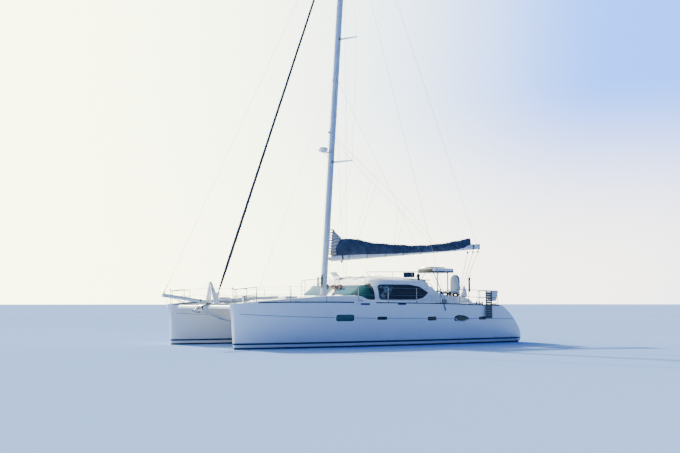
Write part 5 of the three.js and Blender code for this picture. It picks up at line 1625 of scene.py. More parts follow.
def on_mast(z, y=0.0, ahead=0.0):
    """A point at a height on the mast, off to one side or ahead of its middle."""
    return np.array([float(mast_x(z)) + ahead, y, z])


MAST_ROWS = np.array([[2.03, .3, .19], [16.2, .29, .18], [22.2, .19, .13]])


def make_mast():
    """An oval tube, lofted from a few sections: each point is half the length times the
    cosine and half the width times the sine of its turn. A track runs down its aft face."""
    z = np.linspace(MAST_FOOT[2], MAST_TOP, 40)
    fore, wide = (np.interp(z, MAST_ROWS[:, 0], MAST_ROWS[:, k])[:, None] for k in (1, 2))
    turn = around(40)
    x = mast_x(z)[:, None] + fore / 2 * squared(np.cos(turn), .86)
    y = wide / 2 * squared(np.sin(turn), .86)
    put("mast_tube", loft(np.stack([x, y, np.broadcast_to(z[:, None], x.shape)], -1)),
        MAST_SHADED_BLUE, stands_for="mast")
    track = [on_mast(h, 0, -np.interp(h, MAST_ROWS[:, 0], MAST_ROWS[:, 1]) / 2 - .006)
             for h in np.linspace(3.95, 21.9, 12)]
    bar = rounded([(-.016, -.01), (.016, -.01), (.016, .01), (-.016, .01)], .004, 2)
    put("mast_track", sweep(track, bar), ANODISED)
    put("mast_collar", moved(moulded(circle(32) * [.185, .125], 0, .09, .02), by=MAST_FOOT), CREAM)


make_mast()
SPREADERS = ((8.07, .9, .54, .02), (13.73, .8, .48, .02))


def spreader_tip(z, reach, sweep_aft, rise, side):
    """Where a spreader ends."""
    return np.array([float(mast_x(z)) - sweep_aft, side * reach, z + rise])


def spreader(row, side):
    """A swept aerofoil arm that tapers to its tip, with a rounded end cap."""
    t = np.array([0, .03, .5, .97, 1, 1.012])
    path = mix(on_mast(row[0], 0, -.04), spreader_tip(*row, side), t[:, None])
    chord = np.array([.055, .05, .042, .032, .03, .012])
    return sweep(path, circle(14)[None] * np.stack([chord, chord * .42], -1)[:, None])


arms = [spreader(row, s) for row in SPREADERS for s in (1, -1)]
put("spreaders", arms, ALLOY)
roots = [turned([(0, 0), (.07, 0), (.06, .05), (0, .05)], on_mast(z, s * .07, -.01), (0, s, 0), 16) for z,
         *_ in SPREADERS for s in (1, -1)]
tips = [turned([(0, -.03), (.02, -.03), (.024, 0), (.02, .03), (0, .03)], spreader_tip(*row, s), sides=12)
        for row in SPREADERS for s in (1, -1)]
put("spreader_fittings", gather(*roots, *tips), STEEL)


diamonds = []
for s in (1, -1):
    low, high = on_mast(2.75, s * .1, -.03), on_mast(HOUNDS - .6, s * .07, -.03)
    first, second = (spreader_tip(*row, s) for row in SPREADERS)
    diamonds += [(low, first), (first, second), (second, high)]
put("diamond_wires", rods(diamonds, .0045, 6), WIRE)

# Gooseneck: two lugs on the mast and the pin they hold.
RAKE = math.atan(MAST_RAKE)
TILT_MAST = turned_about_y(math.degrees(-RAKE))


def by_mast(shape):
    """A form drawn round the gooseneck's pin, set at the mast's rake."""
    return moved(shape, TILT_MAST, GOOSENECK)


lugs = [by_mast(gather(block((0, .13), (-.032, .032), sorted((h, h + w)), .003, .008),
                       turned([(0, 0), (.034, 0), (.034, abs(w)), (0, abs(w))], (0, 0, min(h, h + w)),
                              sides=20))) for h, w in ((.05, .014), (-.064, .014))]
pin = by_mast(turned([(0, -.07), (.02, -.07), (.02, -.062), (.013, -.06), (.013, .064), (.02, .066),
                      (.02, .074), (0, .075)], sides=20))
put("gooseneck_lugs", gather(*lugs, pin), STEEL)

# Boom and the sail stowed on it, drawn along the boom and then turned. Its frame: run aft
# from the pin, width to port and height.
c, s = math.cos(-BOOM_SWING), math.sin(-BOOM_SWING)
SWING = np.array([[c, -s, 0], [s, c, 0], [0, 0, 1]])
LUFF_TURN = np.array(TILT_MAST) @ SWING
BOOM_TURN = LUFF_TURN @ np.array(turned_about_y(math.degrees(BOOM_RISE)))


def by_boom(shape):
    """A form drawn along the boom, aft from the gooseneck's pin, set where the boom is."""
    return moved(shape, BOOM_TURN, GOOSENECK)


def boom_point(run, y, z):
    """A point by its run aft along the boom, its width to port and its height."""
    return BOOM_TURN @ np.array([-run, y, z]) + GOOSENECK


def by_luff(shape):
    """A form drawn upright by the mast, which swings with the boom but doesn't rise."""
    return moved(shape, LUFF_TURN, GOOSENECK)


def along_boom(rows, count, sides, round_by, wrinkle=None):
    """A skin along the boom: at each run the section goes from underside to top and across
    the width, with corners rounded by a power of the sine and cosine."""
    turn = (np.arange(sides) + .5) / sides * 2 * np.pi
    rows = smoothed(rows, count)
    run, low, high, wide = (rows[:, k:k + 1] for k in range(4))
    y = wide / 2 * squared(np.sin(turn), round_by)
    z = mix(low, high, .5 + .5 * squared(np.cos(turn), round_by))
    if wrinkle is not None:
        dy, dz = wrinkle(np.broadcast_to(run, y.shape), np.broadcast_to(turn, y.shape))
        y, z = y + dy, z + dz
    return loft(np.stack([np.broadcast_to(-run, y.shape), y, z], -1))


BOOM_ROWS = [(.06, -.12, .11, .19), (.5, -.13, .13, .22), (7.6, -.125, .125, .2), (7.9, -.095, .125, .17)]
boom_rows = np.array([(.07, -.09, .08, .13), (.085, -.12, .11, .19), *BOOM_ROWS[1:3],
                      (7.82, -.12, .127, .19), (7.89, -.09, .12, .15), (7.9, -.05, .09, .09)])
put("boom_tube", by_boom(along_boom(boom_rows, 90, 28, .72)), ALLOY, "boom", stands_for="boom")
sleeve = by_luff(turned([(.0165, -.0485), (.03, -.0485), (.03, .0485), (.0165, .0485), (.0165, -.0485)],
                        sides=24))
tang = by_luff(block((-.15, -.02), (-.018, .018), (-.038, .038), .004, .01))
put("boom_sleeve", gather(sleeve, tang), STEEL, "boom")
bands = [by_boom(along_boom([(r - .03, -.138, .137, .228), (r + .03, -.138, .137, .228)], 4, 28, .72))
         for r in (.62, 7.5)]
put("boom_end_bands", bands, BLACK_METAL, "boom")
sheaves = [by_boom(turned([(0, -.012), (.05, -.012), (.04, 0), (.05, .012), (0, .012)], (-r, y, -.1),
                          (0, 1, 0), 24)) for r, y in ((7.84, -.045), (7.84, 0), (7.84, .045))]
put("boom_sheaves", sheaves, BLACK_METAL, "boom")

COVER = [(.33, .1, .52, .25), (.7, .08, .85, .33), (1.45, .06, .79, .38), (1.9, .02, .64, .36),
         (3.7, -.06, .37, .33), (4.6, -.075, .285, .32), (5.4, -.095, .275, .31), (6.4, -.105, .33, .29),
         (6.9, -.05, .385, .27), (7.4, 0, .44, .12)]
TIE_PITCH = .92


def cover_folds(run, turn):
    """The cover sags between its ties: its flanks swell by a raised cosine of the run, small
    creases run down from each tie, and its ridge dips."""
    tie = .5 - .5 * np.cos(2 * np.pi * run / TIE_PITCH)
    crease = (np.sin(run * 31 + turn * 3) * .006 + np.sin(run * 13.7 - turn * 5) * .008
              + np.sin(run * 57 + 2 * turn) * .003)
    swell = (.022 * tie + crease) * np.abs(np.sin(turn)) * np.sign(np.sin(turn))
    dip = (-.014 * tie + .5 * crease) * np.clip(np.cos(turn), 0, 1)
    fade = np.clip((7.38 - run) / .3, 0, 1) * np.clip((run - .33) / .25, 0, 1)
    return swell * fade, dip * fade


cover_rows = np.array(COVER)
cover_rows[:, 1] = np.maximum(cover_rows[:, 1], -.125)
cover = put("sail_cover", by_boom(along_boom(cover_rows, 240, 48, .8, cover_folds)), NAVY, "boom",
            crease=70, stands_for="mainsail_cover")


def cover_at(run):
    """The cover's underside, top and width at a run along the boom."""
    return [np.interp(run, cover_rows[:, 0], cover_rows[:, k]) for k in (1, 2, 3)]


def tie_ring(run, grow=.008, count=28):
    """A loop round the boom and the cover at one run, a little clear of both."""
    low, high, wide = cover_at(run)
    turn = around(count)
    y = (wide / 2 + grow) * squared(np.sin(turn), .8)
    z = mix(min(low, -.135) - grow, high + grow - .01, .5 + .5 * squared(np.cos(turn), .8))
    return np.stack([np.full(count, -run), y, z], -1)


strap = np.array([(-.014, -.0015), (.014, -.0015), (.014, .0015), (-.014, .0015)])[:, ::-1]
straps = [by_boom(sweep(tie_ring(r), strap, closed=True)) for r in np.arange(TIE_PITCH, 7.3, TIE_PITCH)]
put("sail_ties", straps, NAVY, "boom")
zipper = [boom_point(r, 0, cover_at(r)[1] + .006) for r in np.linspace(.5, 7.3, 60)]
put("cover_zip", tube(zipper, .006, 6), RUBBER, "boom")

# The luff's outline. Columns: height, near and far edge aft of the mast, width.
LUFF = [(.16, .05, .31, .2), (.4, .05, .4, .21), (.7, .05, .47, .2), (.97, .06, .53, .17),
        (1.1, .07, .4, .15), (1.28, .08, .17, .1), (1.34, .09, .13, .05)]


def luff_folds():
    """The bare luff, flaked in folds beside the mast: a skin round its outline whose sides
    ripple by the sine of the height, as the sail hangs back and forth between its slides."""
    rows = smoothed(LUFF, 110)
    turn = around(40)
    z, near, far, wide = (rows[:, k:k + 1] for k in range(4))
    fold = np.abs(np.sin(z * 26 + .6 * np.sin(turn))) ** .6
    pull = np.clip(np.cos(turn), 0, 1) - np.clip(-np.cos(turn), 0, 1)
    x = .03 * (1 - fold) * pull - mix(near, far, .5 + .5 * squared(np.cos(turn), .8))
    y = wide / 2 * squared(np.sin(turn), .8) * (.6 + .4 * fold)
    return loft(np.stack([x, y, z + .012 * np.sin(turn * 2 + z * 9)], -1))


luff = put("stowed_luff", by_luff(luff_folds()), FOLDED_SAIL, "boom", crease=80,
           stands_for="mainsail_luff")
slides = [by_luff(block((-.12, .03), (-.014, .014), (h, h + .05), .004, .01))
          for h in np.arange(.2, 1.3, .12)]
put("sail_slides", slides, RUBBER, "boom")

# Standing rigging, with swaged ends and turnbuckles.

def stay(foot, head, radius):
    """A wire, a turnbuckle at its foot and a swaged eye at its head."""
    foot, head = np.array(foot, float), np.array(head, float)
    along = unit(head - foot)
    body = [(0, 0), (.012, 0), (.012, .07), (.02, .08), (.02, .1), (.011, .11), (.011, .3), (.018, .31),
            (.018, .34), (.01, .36), (.009, .5), (0, .5)]
    parts = [tube([foot + along * .4, head], radius, 6),
             turned([(r * 1.25, h) for r, h in body], foot, along, 10)]
    end = turned([(0, 0), (radius * 1.2, 0), (radius * 2, .04), (radius * 2, .16), (0, .18)],
                 head - along * .16, along, 8)
    return gather(*parts, end)


STAY_FOOT = np.array([6.7, 0, 1.77])
STAY_AXIS = unit(on_mast(HOUNDS) - STAY_FOOT)
TO_PORT = np.array([0, 1.0, 0])
STAY_UP = np.cross(STAY_AXIS, TO_PORT)


def stay_at(z):
    """A point at a height on the stay that carries the furled headsail."""
    t = (z - STAY_FOOT[2]) / (HOUNDS - STAY_FOOT[2])
    return mix(STAY_FOOT, on_mast(HOUNDS), t)


put("outer_forestay_wire", stay((8.97, 0, 2.165), on_mast(HOUNDS + .15, 0, .1), .006), WIRE,
    stands_for="outer_forestay")
put("inner_forestay_wire", stay((4.85, 0, 1.8), on_mast(LOWERS, 0, .14), .006), WIRE,
    stands_for="inner_forestay")
for name, side in SIDES:
    put(f"cap_shroud_wire_{name}",
        stay((-2.49, side * SHROUD_Y, 1.9), on_mast(HOUNDS - .2, side * .09, -.06), .007), WIRE,
        stands_for=f"cap_shroud_{name}")
    put(f"lower_shroud_wire_{name}",
        stay((-2.4, side * SHROUD_Y, 1.9), on_mast(LOWERS - .1, side * .09, -.06), .006), WIRE,
        stands_for=f"lower_shroud_{name}")


def furled_sail():
    """The headsail rolled on its stay: a round roll whose radius follows a short table and
    steps up by a sawtooth of turn less height, which draws the spiral edge."""
    z = np.concatenate([np.linspace(2.33, 3.2, 40), np.linspace(3.22, 18.6, 620)])
    radius = np.interp(z, [2.33, 2.5, 2.75, 3.4, 17.8, 18.3, 18.6],
                       [.028, .04, .05, .06, .046, .03, .014])
    turn = around(28)
    lead = (turn[None] / (2 * np.pi) - z[:, None] / .62) % 1
    bulge = 1 + .1 * lead ** 3 + .025 * np.sin(5 * turn[None] + z[:, None] * 2.2)
    centre = np.array([stay_at(h) for h in z])
    ring = np.cos(turn)[:, None] * STAY_UP + np.sin(turn)[:, None] * TO_PORT
    return loft(centre[:, None] + radius[:, None, None] * bulge[..., None] * ring[None])


roll = put("furled_sail_roll", furled_sail(), SAIL_NAVY, crease=60, stands_for="furled_headsail")
put("furler_foil", tube([stay_at(2.33), stay_at(HOUNDS) + [.06, 0, 0]], .011, 8), ANODISED)
drum_at = stay_at(1.96)
drum = [(0, -.16), (.02, -.16), (.024, -.04), (.094, -.02), (.096, 0), (.09, .02), (.06, .03),
        (.058, .16), (.09, .19), (.096, .21), (.094, .24), (.04, .27), (.03, .36), (0, .37)]
put("furler_drum_body", turned(drum, drum_at, STAY_AXIS, 36), PALE_PLASTIC,
    stands_for="furler_drum")
turns = [drum_at + STAY_AXIS * (.035 + .118 * k / 160)
         + .066 * (math.cos(k * .35) * TO_PORT + math.sin(k * .35) * STAY_UP) for k in range(160)]
put("furling_line_turns", tube(turns, .0045, 6), RED_ROPE)
toggle = [turned([(0, 0), (.03, 0), (.03, .02), (.016, .04), (.016, .2), (0, .2)], stay_at(1.775),
                 STAY_AXIS, 16)]
put("furler_toggle", toggle, STEEL)
swivel = turned([(0, 0), (.028, 0), (.034, .02), (.034, .12), (.028, .14), (0, .14)], stay_at(18.7),
                STAY_AXIS, 20)
put("furler_swivel", swivel, BLACK_METAL)

# Foils under water. Columns: z, leading x, trailing x, half thickness.
KEEL = [(-1.4, 1.3, -.9, .07), (-1.39, 1.345, -.945, .09), (-1.25, 1.5, -1.05, .12),
        (-.8, 1.72, -1.15, .132), (-.42, 1.9, -1.25, .14)]
DRIVE_LEG = [(-.82, -3.67, -4.01, .04), (-.6, -3.67, -4.01, .045), (-.45, -3.66, -4.02, .047),
             (-.36, -3.62, -4.06, .055)]


def fin(rows, y, sections=30):
    """An aerofoil fin. Columns: z, leading x, trailing x, half thickness. Its thickness at a
    share t of the chord goes as the square root of t times one less t, thickest forward."""
    rows = smoothed(rows, sections)
    t = np.concatenate([np.linspace(0, 1, 16) ** 1.6, np.linspace(1, 0, 16)[1:-1] ** 1.6])
    face = np.concatenate([np.ones(16), -np.ones(14)])
    thick = 2.6 * (np.sqrt(t) * (1 - t) * .75 + .02 * (t > 0))
    x = mix(rows[:, 1:2], rows[:, 2:3], t[None])
    z = np.broadcast_to(rows[:, :1], x.shape)
    return loft(np.stack([x, y + rows[:, 3:4] * face * thick * .98, z], -1))


def propeller_blades(at):
    """Three blades: an oval section whose chord follows half an ellipse along the span and
    whose pitch falls towards the tip, turned about the shaft by thirds."""
    span = np.linspace(.045, .232, 14)
    chord = .062 * np.sqrt(np.clip(1 - ((span - .13) / .108) ** 2, .02, 1)) + .012
    pitch = np.radians(55 - 120 * (span - .045))[:, None]
    section = circle(16)[None] * np.stack([chord, .0055 + 0 * chord], -1)[:, None]
    c, s = np.cos(pitch), np.sin(pitch)
    ring = np.stack([section[..., 0] * c * .55 - section[..., 1] * s,
                     section[..., 0] * s + section[..., 1] * c,
                     np.broadcast_to(span[:, None], section.shape[:2])], -1)
    blades = []
    for a in np.arange(3) * 2 * np.pi / 3:
        spin = [[1, 0, 0], [0, math.cos(a), -math.sin(a)], [0, math.sin(a), math.cos(a)]]
        blades.append(moved(loft(ring), spin, at))
    return blades


def underwater(name, side):
    """Keel, rudder with its stock, drive leg with its pod, and propeller of one hull."""
    y = side * HULL_Y
    put(f"keel_{name}_fin", fin(KEEL, y), BOTTOM, stands_for=f"keel_{name}")
    top = float(at_station(-6.15, (0, 2)))
    blade = fin([(-1.25, -6.04, -6.44, .02), (-1.22, -6.02, -6.48, .028),
                 (top - .06, -5.96, -6.61, .042)], y, 20)
    stock = turned([(0, 0), (.04, 0), (.04, .5), (0, .5)], (-6.15, y, top - .36))
    put(f"rudder_{name}_blade", [blade, stock], BOTTOM, f"rudder_{name}", stands_for=f"rudder_{name}")
    pod = turned([(0, 0), (.062, .004), (.073, .1), (.07, .2), (.06, .32), (.03, .4), (0, .42)],
                 (-4.044, y, -.82), (1, 0, 0), 28)
    put(f"drive_leg_{name}_body", [fin(DRIVE_LEG, y, 16), pod], BOTTOM, stands_for=f"drive_leg_{name}")
    hub = turned([(0, -.15), (.02, -.147), (.036, -.13), (.055, -.06), (.058, -.004), (0, -.004)],
                 (-4.045, y, -.82), (1, 0, 0), 28)
    put(f"propeller_{name}_wheel", [hub, *propeller_blades((-4.11, y, -.82))], BRONZE,
        f"propeller_{name}", stands_for=f"propeller_{name}")


def hinged_lid(node):
    """A deck lid with a rounded rim, a grip pad and a lift handle, in its node's place."""
    low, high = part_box(node)
    form = block((low.x, high.x), (low.y, high.y), (low.z + .004, high.z), .014, .07)
    put(f"{node}_moulding", form, GEL, node, stands_for=node)
    pad = block((low.x + .05, high.x - .05), (low.y + .05, high.y - .05),
                (high.z - .003, high.z + .004), .002, .05)
    put(f"{node}_pad", pad, GRIP_GREY, node)
    latch = turned([(0, 0), (.028, 0), (.028, .004), (.02, .006), (0, .005)],
                   (low.x + .07, (low.y + high.y) / 2, high.z + .003), sides=20)
    put(f"{node}_latch", latch, STEEL, node)


def engine(name):
    """A diesel in its bay: block, sump and head, three pulleys, a pipe and a filter."""
    low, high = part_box(f"engine_{name}")
    cx, cy = (low.x + high.x) / 2, (low.y + high.y) / 2
    body = block((low.x + .06, high.x - .1), (cy - .17, cy + .17), (low.z + .08, high.z - .12), .03, .05)
    sump = block((low.x + .1, high.x - .16), (cy - .12, cy + .12), (low.z, low.z + .1), .03, .05)
    head = block((low.x + .1, high.x - .16), (cy - .08, cy + .08), (high.z - .14, high.z - .02), .02, .03)
    put(f"engine_{name}_block", [body, sump, head], GREY_PLASTIC, stands_for=f"engine_{name}")
    parts = [turned([(0, 0), (r, 0), (r * .9, .012), (r, .024), (0, .024)],
                    (high.x - .1, cy + dy, low.z + h), (1, 0, 0))
             for r, dy, h in ((.08, 0, .22), (.05, .1, .36), (.055, -.09, .4))]
    pipe = line((cx - .2, cy + .12, high.z - .2), (cx - .1, cy + .19, high.z - .16),
                (cx + .1, cy + .19, high.z - .2), (cx + .2, cy + .1, high.z - .3), count=20)
    put(f"engine_{name}_parts", [*parts, tube(pipe, .018, 8)], RUBBER)
    can = turned([(0, 0), (.04, .004), (.04, .1), (0, .104)], (cx, cy - .2, low.z + .2), sides=20)
    put(f"engine_{name}_filter", can, RED_LENS)


for name, side in SIDES:
    underwater(name, side)
    hinged_lid(f"forepeak_lid_{name}")
    hinged_lid(f"engine_lid_{name}")
    engine(name)

# Radome, crane and steaming light on the mast, and the bow lights.
z = 8.48
radar_x = float(mast_x(z)) + .45
bowl = [(0, 0), (.13, 0), (.19, .012), (.212, .05), (.214, .1), (.2, .14), (.16, .175), (.1, .194),
        (0, .2)]
put("radome_shell", turned(bowl, (radar_x, 0, z + .04), sides=40), PALE_PLASTIC, stands_for="radome")
bracket = [block((float(mast_x(z)) + .1, radar_x + .12), (-.06, .06), (z, z + .04), .008, .02),
           tube([(float(mast_x(z)) + .12, 0, z - .22), (radar_x, 0, z)], .014, 8)]
put("radome_bracket", bracket, ALLOY)
top = on_mast(MAST_TOP)
crane = [block((top[0] - .22, top[0] + .2), (-.035, .035), (MAST_TOP - .05, MAST_TOP + .0), .008, .02)]
put("masthead_crane", crane, ALLOY)
steaming = turned([(0, 0), (.035, 0), (.04, .01), (.04, .06), (.03, .075), (0, .075)],
                  on_mast(9.4, 0, .2), sides=20)
put("steaming_light", steaming, CLEAR_LENS)
put("steaming_light_bracket", block((float(mast_x(9.4)) + .12, float(mast_x(9.4)) + .24), (-.03, .03),
                                    (9.37, 9.4), .005, .01), BLACK_METAL)
for name, side in SIDES:
    y = side * 2.8
    lamp = turned([(0, 0), (.028, 0), (.032, .008), (.032, .05), (.02, .06), (0, .06)], (7.39, y, 2.32),
                  sides=18)
    put(f"bow_light_{name}", lamp, RED_LENS if side > 0 else GREEN_LENS)

# Halyards and lines, all taut, led beside the mast.
halyards = []
for k, (y, ahead) in enumerate(((.12, .08), (.12, .02), (-.12, .08), (-.12, .02), (.05, .19),
                                (-.05, .19))):
    start, end = on_mast(2.12, y, ahead), on_mast(19.8 - k * .3, y * .62, ahead * .7)
    halyards.append(np.array([start, end]))
for k, finish in enumerate((PALE_ROPE, RED_ROPE, BLUE_ROPE)):
    put(f"halyards_{k}", [tube(path, .0055, 6) for path in halyards[k::3]], finish)


def across_joint(name, start, end, radius, finish, steps=40):
    """A taut line from the fixed boat to the boom, in even steps, with its place baked into
    its points."""
    way = np.linspace(0, 1, steps)[:, None]
    piece = put(name, tube(mix(np.array(start), np.array(end), way), radius, 6), finish, None)
    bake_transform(piece)


# Lazy jacks run from the mast to a joint, and from there by legs to the boom.
for name, side in SIDES:
    joint = boom_point(2.6, side * .35, 3.4)
    lower = boom_point(3.9, side * .35, 2.1)
    across_joint(f"lazy_jack_head_{name}", on_mast(9.2, side * .1, -.04), joint, .007, GREY_LINE)
    legs = [(joint, boom_point(1.1, side * .16, .05)), (joint, lower),
            (lower, boom_point(3.3, side * .14, .02)), (lower, boom_point(5.6, side * .12, .02))]
    put(f"lazy_jacks_{name}", rods(legs, .006, 5), GREY_LINE, "boom")
across_joint("topping_lift", on_mast(MAST_TOP - .1, 0, -.2), boom_point(7.75, 0, .13), .007, GREY_LINE)

# Mainsheet: a track across the aft deck, a car on it, and three parts of line to the boom.
TRACK_X = -5.42
TRACK_Z = 1.715
CAR_Y = 1.25
track = moulded(rounded([(TRACK_X - .02, TRACK_Z), (TRACK_X + .02, TRACK_Z),
                         (TRACK_X + .014, TRACK_Z + .032), (TRACK_X - .014, TRACK_Z + .032)], .005, 3),
                -1.5, 1.5, .002, "y", 2)
put("mainsheet_track", track, ANODISED)
car = [block((TRACK_X - .035, TRACK_X + .035), (CAR_Y - .09, CAR_Y + .09),
             (TRACK_Z + .034, TRACK_Z + .07), .008, .02),
       tube([(TRACK_X, CAR_Y - .05, TRACK_Z + .06), (TRACK_X, CAR_Y, TRACK_Z + .12),
             (TRACK_X, CAR_Y + .05, TRACK_Z + .06)], .008, 8)]
put("mainsheet_car", car, BLACK_METAL)


def pulley(at, along, size=.05):
    """A block: two cheeks turned about the sheave's pin, with a strap along the pull."""
    along = unit(np.array(along, float))
    pin = unit(np.cross(along, [0, 0, 1]) + [0, .001, 0])
    cheek = [(0, -.026), (.7, -.026), (.9, -.02), (1, -.008), (1, .008), (.9, .02), (.7, .026), (0, .026)]
    shell = turned([(r * size, h) for r, h in cheek], at, pin, 20)
    strap = tube([np.array(at) - along * size * 1.6, np.array(at) + along * size * 1.6], .012, 8)
    return gather(shell, strap)


LOW_BLOCK = np.array([TRACK_X, CAR_Y, TRACK_Z + .19])
HANGERS = [boom_point(run, 0, -.24) for run in (7.2, 7.5, 7.78)]
pull = LOW_BLOCK - HANGERS[1]
put("mainsheet_low_block", pulley(LOW_BLOCK, pull, .062), BLACK_METAL)
put("boom_reef_block", pulley(boom_point(.6, 0, -.18), (1, 0, 0), .05), BLACK_METAL, "boom")
put("mainsheet_boom_blocks", [pulley(p, (0, 0, 1)) for p in HANGERS], BLACK_METAL, "boom")
for k, hanger in enumerate(HANGERS):
    across_joint(f"mainsheet_{k}", LOW_BLOCK + [.03 * (1 - k), 0, .03], hanger - [0, 0, .03], .012,
                 GREY_LINE)

# Windlass, anchor and bow roller.
capstan = [(0, 0), (.14, 0), (.14, .02), (.115, .03), (.112, .13), (.075, .15), (.06, .17), (.058, .21),
           (.09, .235), (.096, .25), (.094, .29), (.06, .3), (.03, .302), (0, .306)]
put("windlass_body", turned(capstan, (5.3, 0, 1.776), sides=36), STEEL, stands_for="windlass")
motor = block((5.08, 5.24), (-.07, .07), (1.776, 1.9), .02, .03)
put("windlass_motor", motor, PALE_PLASTIC)


def plate(upper, lower):
    """A closed plate between two grids of points: the faces of both, with strips that join
    them along their four edges."""
    corners, faces = grid(np.concatenate([upper, lower[:, ::-1]], 1), around=True)
    rows, columns = upper.shape[:2]
    i = np.arange(columns - 1)
    strip = np.stack([i, 2 * columns - 1 - i, 2 * columns - 2 - i, i + 1], -1)
    last = strip[:, ::-1] + 2 * columns * (rows - 1)
    return outward((corners, np.vstack([faces, strip, last])))


def anchor_form():
    """A plough anchor: a bent shank of flat bar, and a folded blade whose two wings meet at
    its tip."""
    shank = rounded([(7.33, 1.6), (7.33, 1.66), (7.56, 1.65), (7.77, 1.44), (7.72, 1.4), (7.54, 1.59)],
                    .03, 4)
    shank = moulded(shank, .152, .18, .006, "y", 3)
    run = np.linspace(0, 1, 14)[:, None]
    across = np.linspace(-1, 1, 15)[None]
    width = .105 * np.sin(np.pi * (.1 + .82 * run)) ** .7 * (1 - run * .15)
    x = 7.79 - .38 * run + .03 * np.abs(across)
    y = .166 + width * across
    z = 1.4 + .06 * np.abs(across) ** 1.3 * (1 - run * .3) + .05 * (1 - run) ** 2
    sheet_top = np.stack([x + 0 * across, y, z], -1)
    sheet_low = sheet_top - [0, 0, .014]
    return gather(shank, plate(sheet_top, sheet_low))


put("anchor_form", anchor_form(), STEEL, stands_for="anchor")
cheeks = [moulded(rounded([(7.2, 1.55), (7.5, 1.56), (7.53, 1.62), (7.48, 1.66), (7.2, 1.7)], .03, 4), y,
                  y + .008, .002, "y", 2) for y in (.125, .199)]
roller = turned([(0, -.035), (.04, -.035), (.026, 0), (.04, .035), (0, .035)], (7.48, .166, 1.59),
                (0, 1, 0), 24)
put("bow_roller_cheeks", cheeks, STEEL)
put("bow_roller", roller, RUBBER)

# Boarding ladder, rail box, flag and the rolled canvas, all on the port side.
LADDER_X = (-5.04, -4.73)
LADDER_Y = 3.9
stringers = [block((x - .03, x + .03), (LADDER_Y - .026, LADDER_Y + .026), (1.09, 2.34), .012, .02)
             for x in LADDER_X]
put("boarding_ladder_frame", stringers, WEATHERED)
treads = [block(LADDER_X, (LADDER_Y - .035, LADDER_Y + .035), (h - .02, h + .02), .006, .014)
          for h in np.linspace(1.14, 1.9, 5)]
slats = [block(LADDER_X, (LADDER_Y - .012, LADDER_Y - .002), (h, h + .085), .003, .006)
         for h in np.arange(1.16, 2.2, .1)]
put("boarding_ladder_treads", gather(*treads, *slats), WEATHERED)
hooks = rods([((x, 3.9, h), (x, 3.74, h)) for x in LADDER_X for h in (1.72, 2.2)], .012, 8)
put("boarding_ladder_hooks", hooks, RAIL_STEEL)


def rail_box():
    """A tapered locker on the rail: its ends lean in as the height falls, corners rounded."""
    z = np.array([1.87, 1.885, 1.9, 2.26, 2.275, 2.3, 2.315, 2.32])
    margin = np.array([.02, .006, 0, 0, -.012, -.012, -.006, .01])
    rings = []
    for h, m in zip(z, margin):
        x0 = np.interp(h, [1.87, 2.32], [-5.48, -5.61])
        x1 = np.interp(h, [1.87, 2.32], [-5.18, -5.12])
        ring = rounded([(x1, 3.76), (x1, 3.48), (x0, 3.48), (x0, 3.76)], .05, 6)
        rings.append(level(inset(ring, m), h))
    return loft(rings)


put("rail_box", rail_box(), PALE_PLASTIC)


def hank(centre, tall, wide, turns, radius, across=(1, 0, 0)):
    """A coil of rope: an upright oval walked round many times, each turn widened by a slow
    sine and set off sideways by another."""
    t = np.linspace(0, 2 * np.pi * turns, 26 * turns)[:, None]
    across = unit(np.array(across, float))
    aside = np.cross(across, [0, 0, 1])
    swell = .72 + .34 * np.sin(.37 * t) * np.cos(.11 * t)
    points = (np.array(centre) + across * wide * swell * np.cos(t)
              + np.array([0, 0, tall]) * swell * np.sin(t) + aside * radius * 2.4 * np.sin(.21 * t))
    return tube(points, radius, 6)


HANKS = [("green", GREEN_ROPE, [((1.53, .15, 2.76), .3, .045, 7, .01, (1, 0, 0))]),
         ("brown", BROWN_ROPE, [((.74, .34, 2.5), .1, .22, 13, .014, (0, 1, .1)),
                                ((.76, -.06, 2.51), .1, .2, 13, .014, (.1, 1, 0)),
                                ((1.18, .1, 2.5), .12, .04, 6, .01, (1, 0, 0))]),
         ("pale", PALE_ROPE, [((2.1, 2.6, 2.0), .09, .17, 6, .011, (1, .2, 0)),
                              ((1.53, -.15, 2.7), .28, .045, 6, .01, (1, 0, 0)),
                              ((-3.6, -2.43, 2.2), .1, .2, 7, .012, (1, 0, 0))]),
         ("dark", DARK_ROPE, [((-3.22, 2.43, 2.25), .09, .22, 13, .015, (1, .1, 0)),
                              ((-3.62, 2.4, 2.18), .08, .2, 13, .015, (1, -.3, 0)),
                              ((-4.22, 2.43, 2.15), .08, .22, 13, .015, (1, .2, 0))])]
for label, finish, coils in HANKS:
    put(f"rope_coils_{label}", [hank(*row) for row in coils], finish)
fender = [(0, 0), (.06, .004), (.13, .05), (.145, .12), (.12, .26), (.07, .42), (.045, .48), (.04, .52),
          (0, .53)]
put("fender", turned(fender, (-4.74, 2.43, 2.03), sides=24), PALE_PLASTIC)
bollard = [(0, 0), (.05, 0), (.05, .01), (.026, .02), (.024, .12), (.034, .135), (.03, .15), (0, .152)]
bollards = [turned(bollard, (x, side * 3.6, deck_height(x, 3.6 - HULL_Y)), sides=18)
          for x in (-4.43, -4.61, -4.78) for _, side in SIDES]
put("quarter_posts", bollards, BLACK_METAL)
for name, side in SIDES:
    pad = ring_at(-5.95, -5.5, 3.35 - HULL_Y, 3.65 - HULL_Y, .05)
    pad = patch(pad, partial(on_deck, side=side), .035, .015)
    put(f"deck_end_pad_{name}", pad, RUBBER)


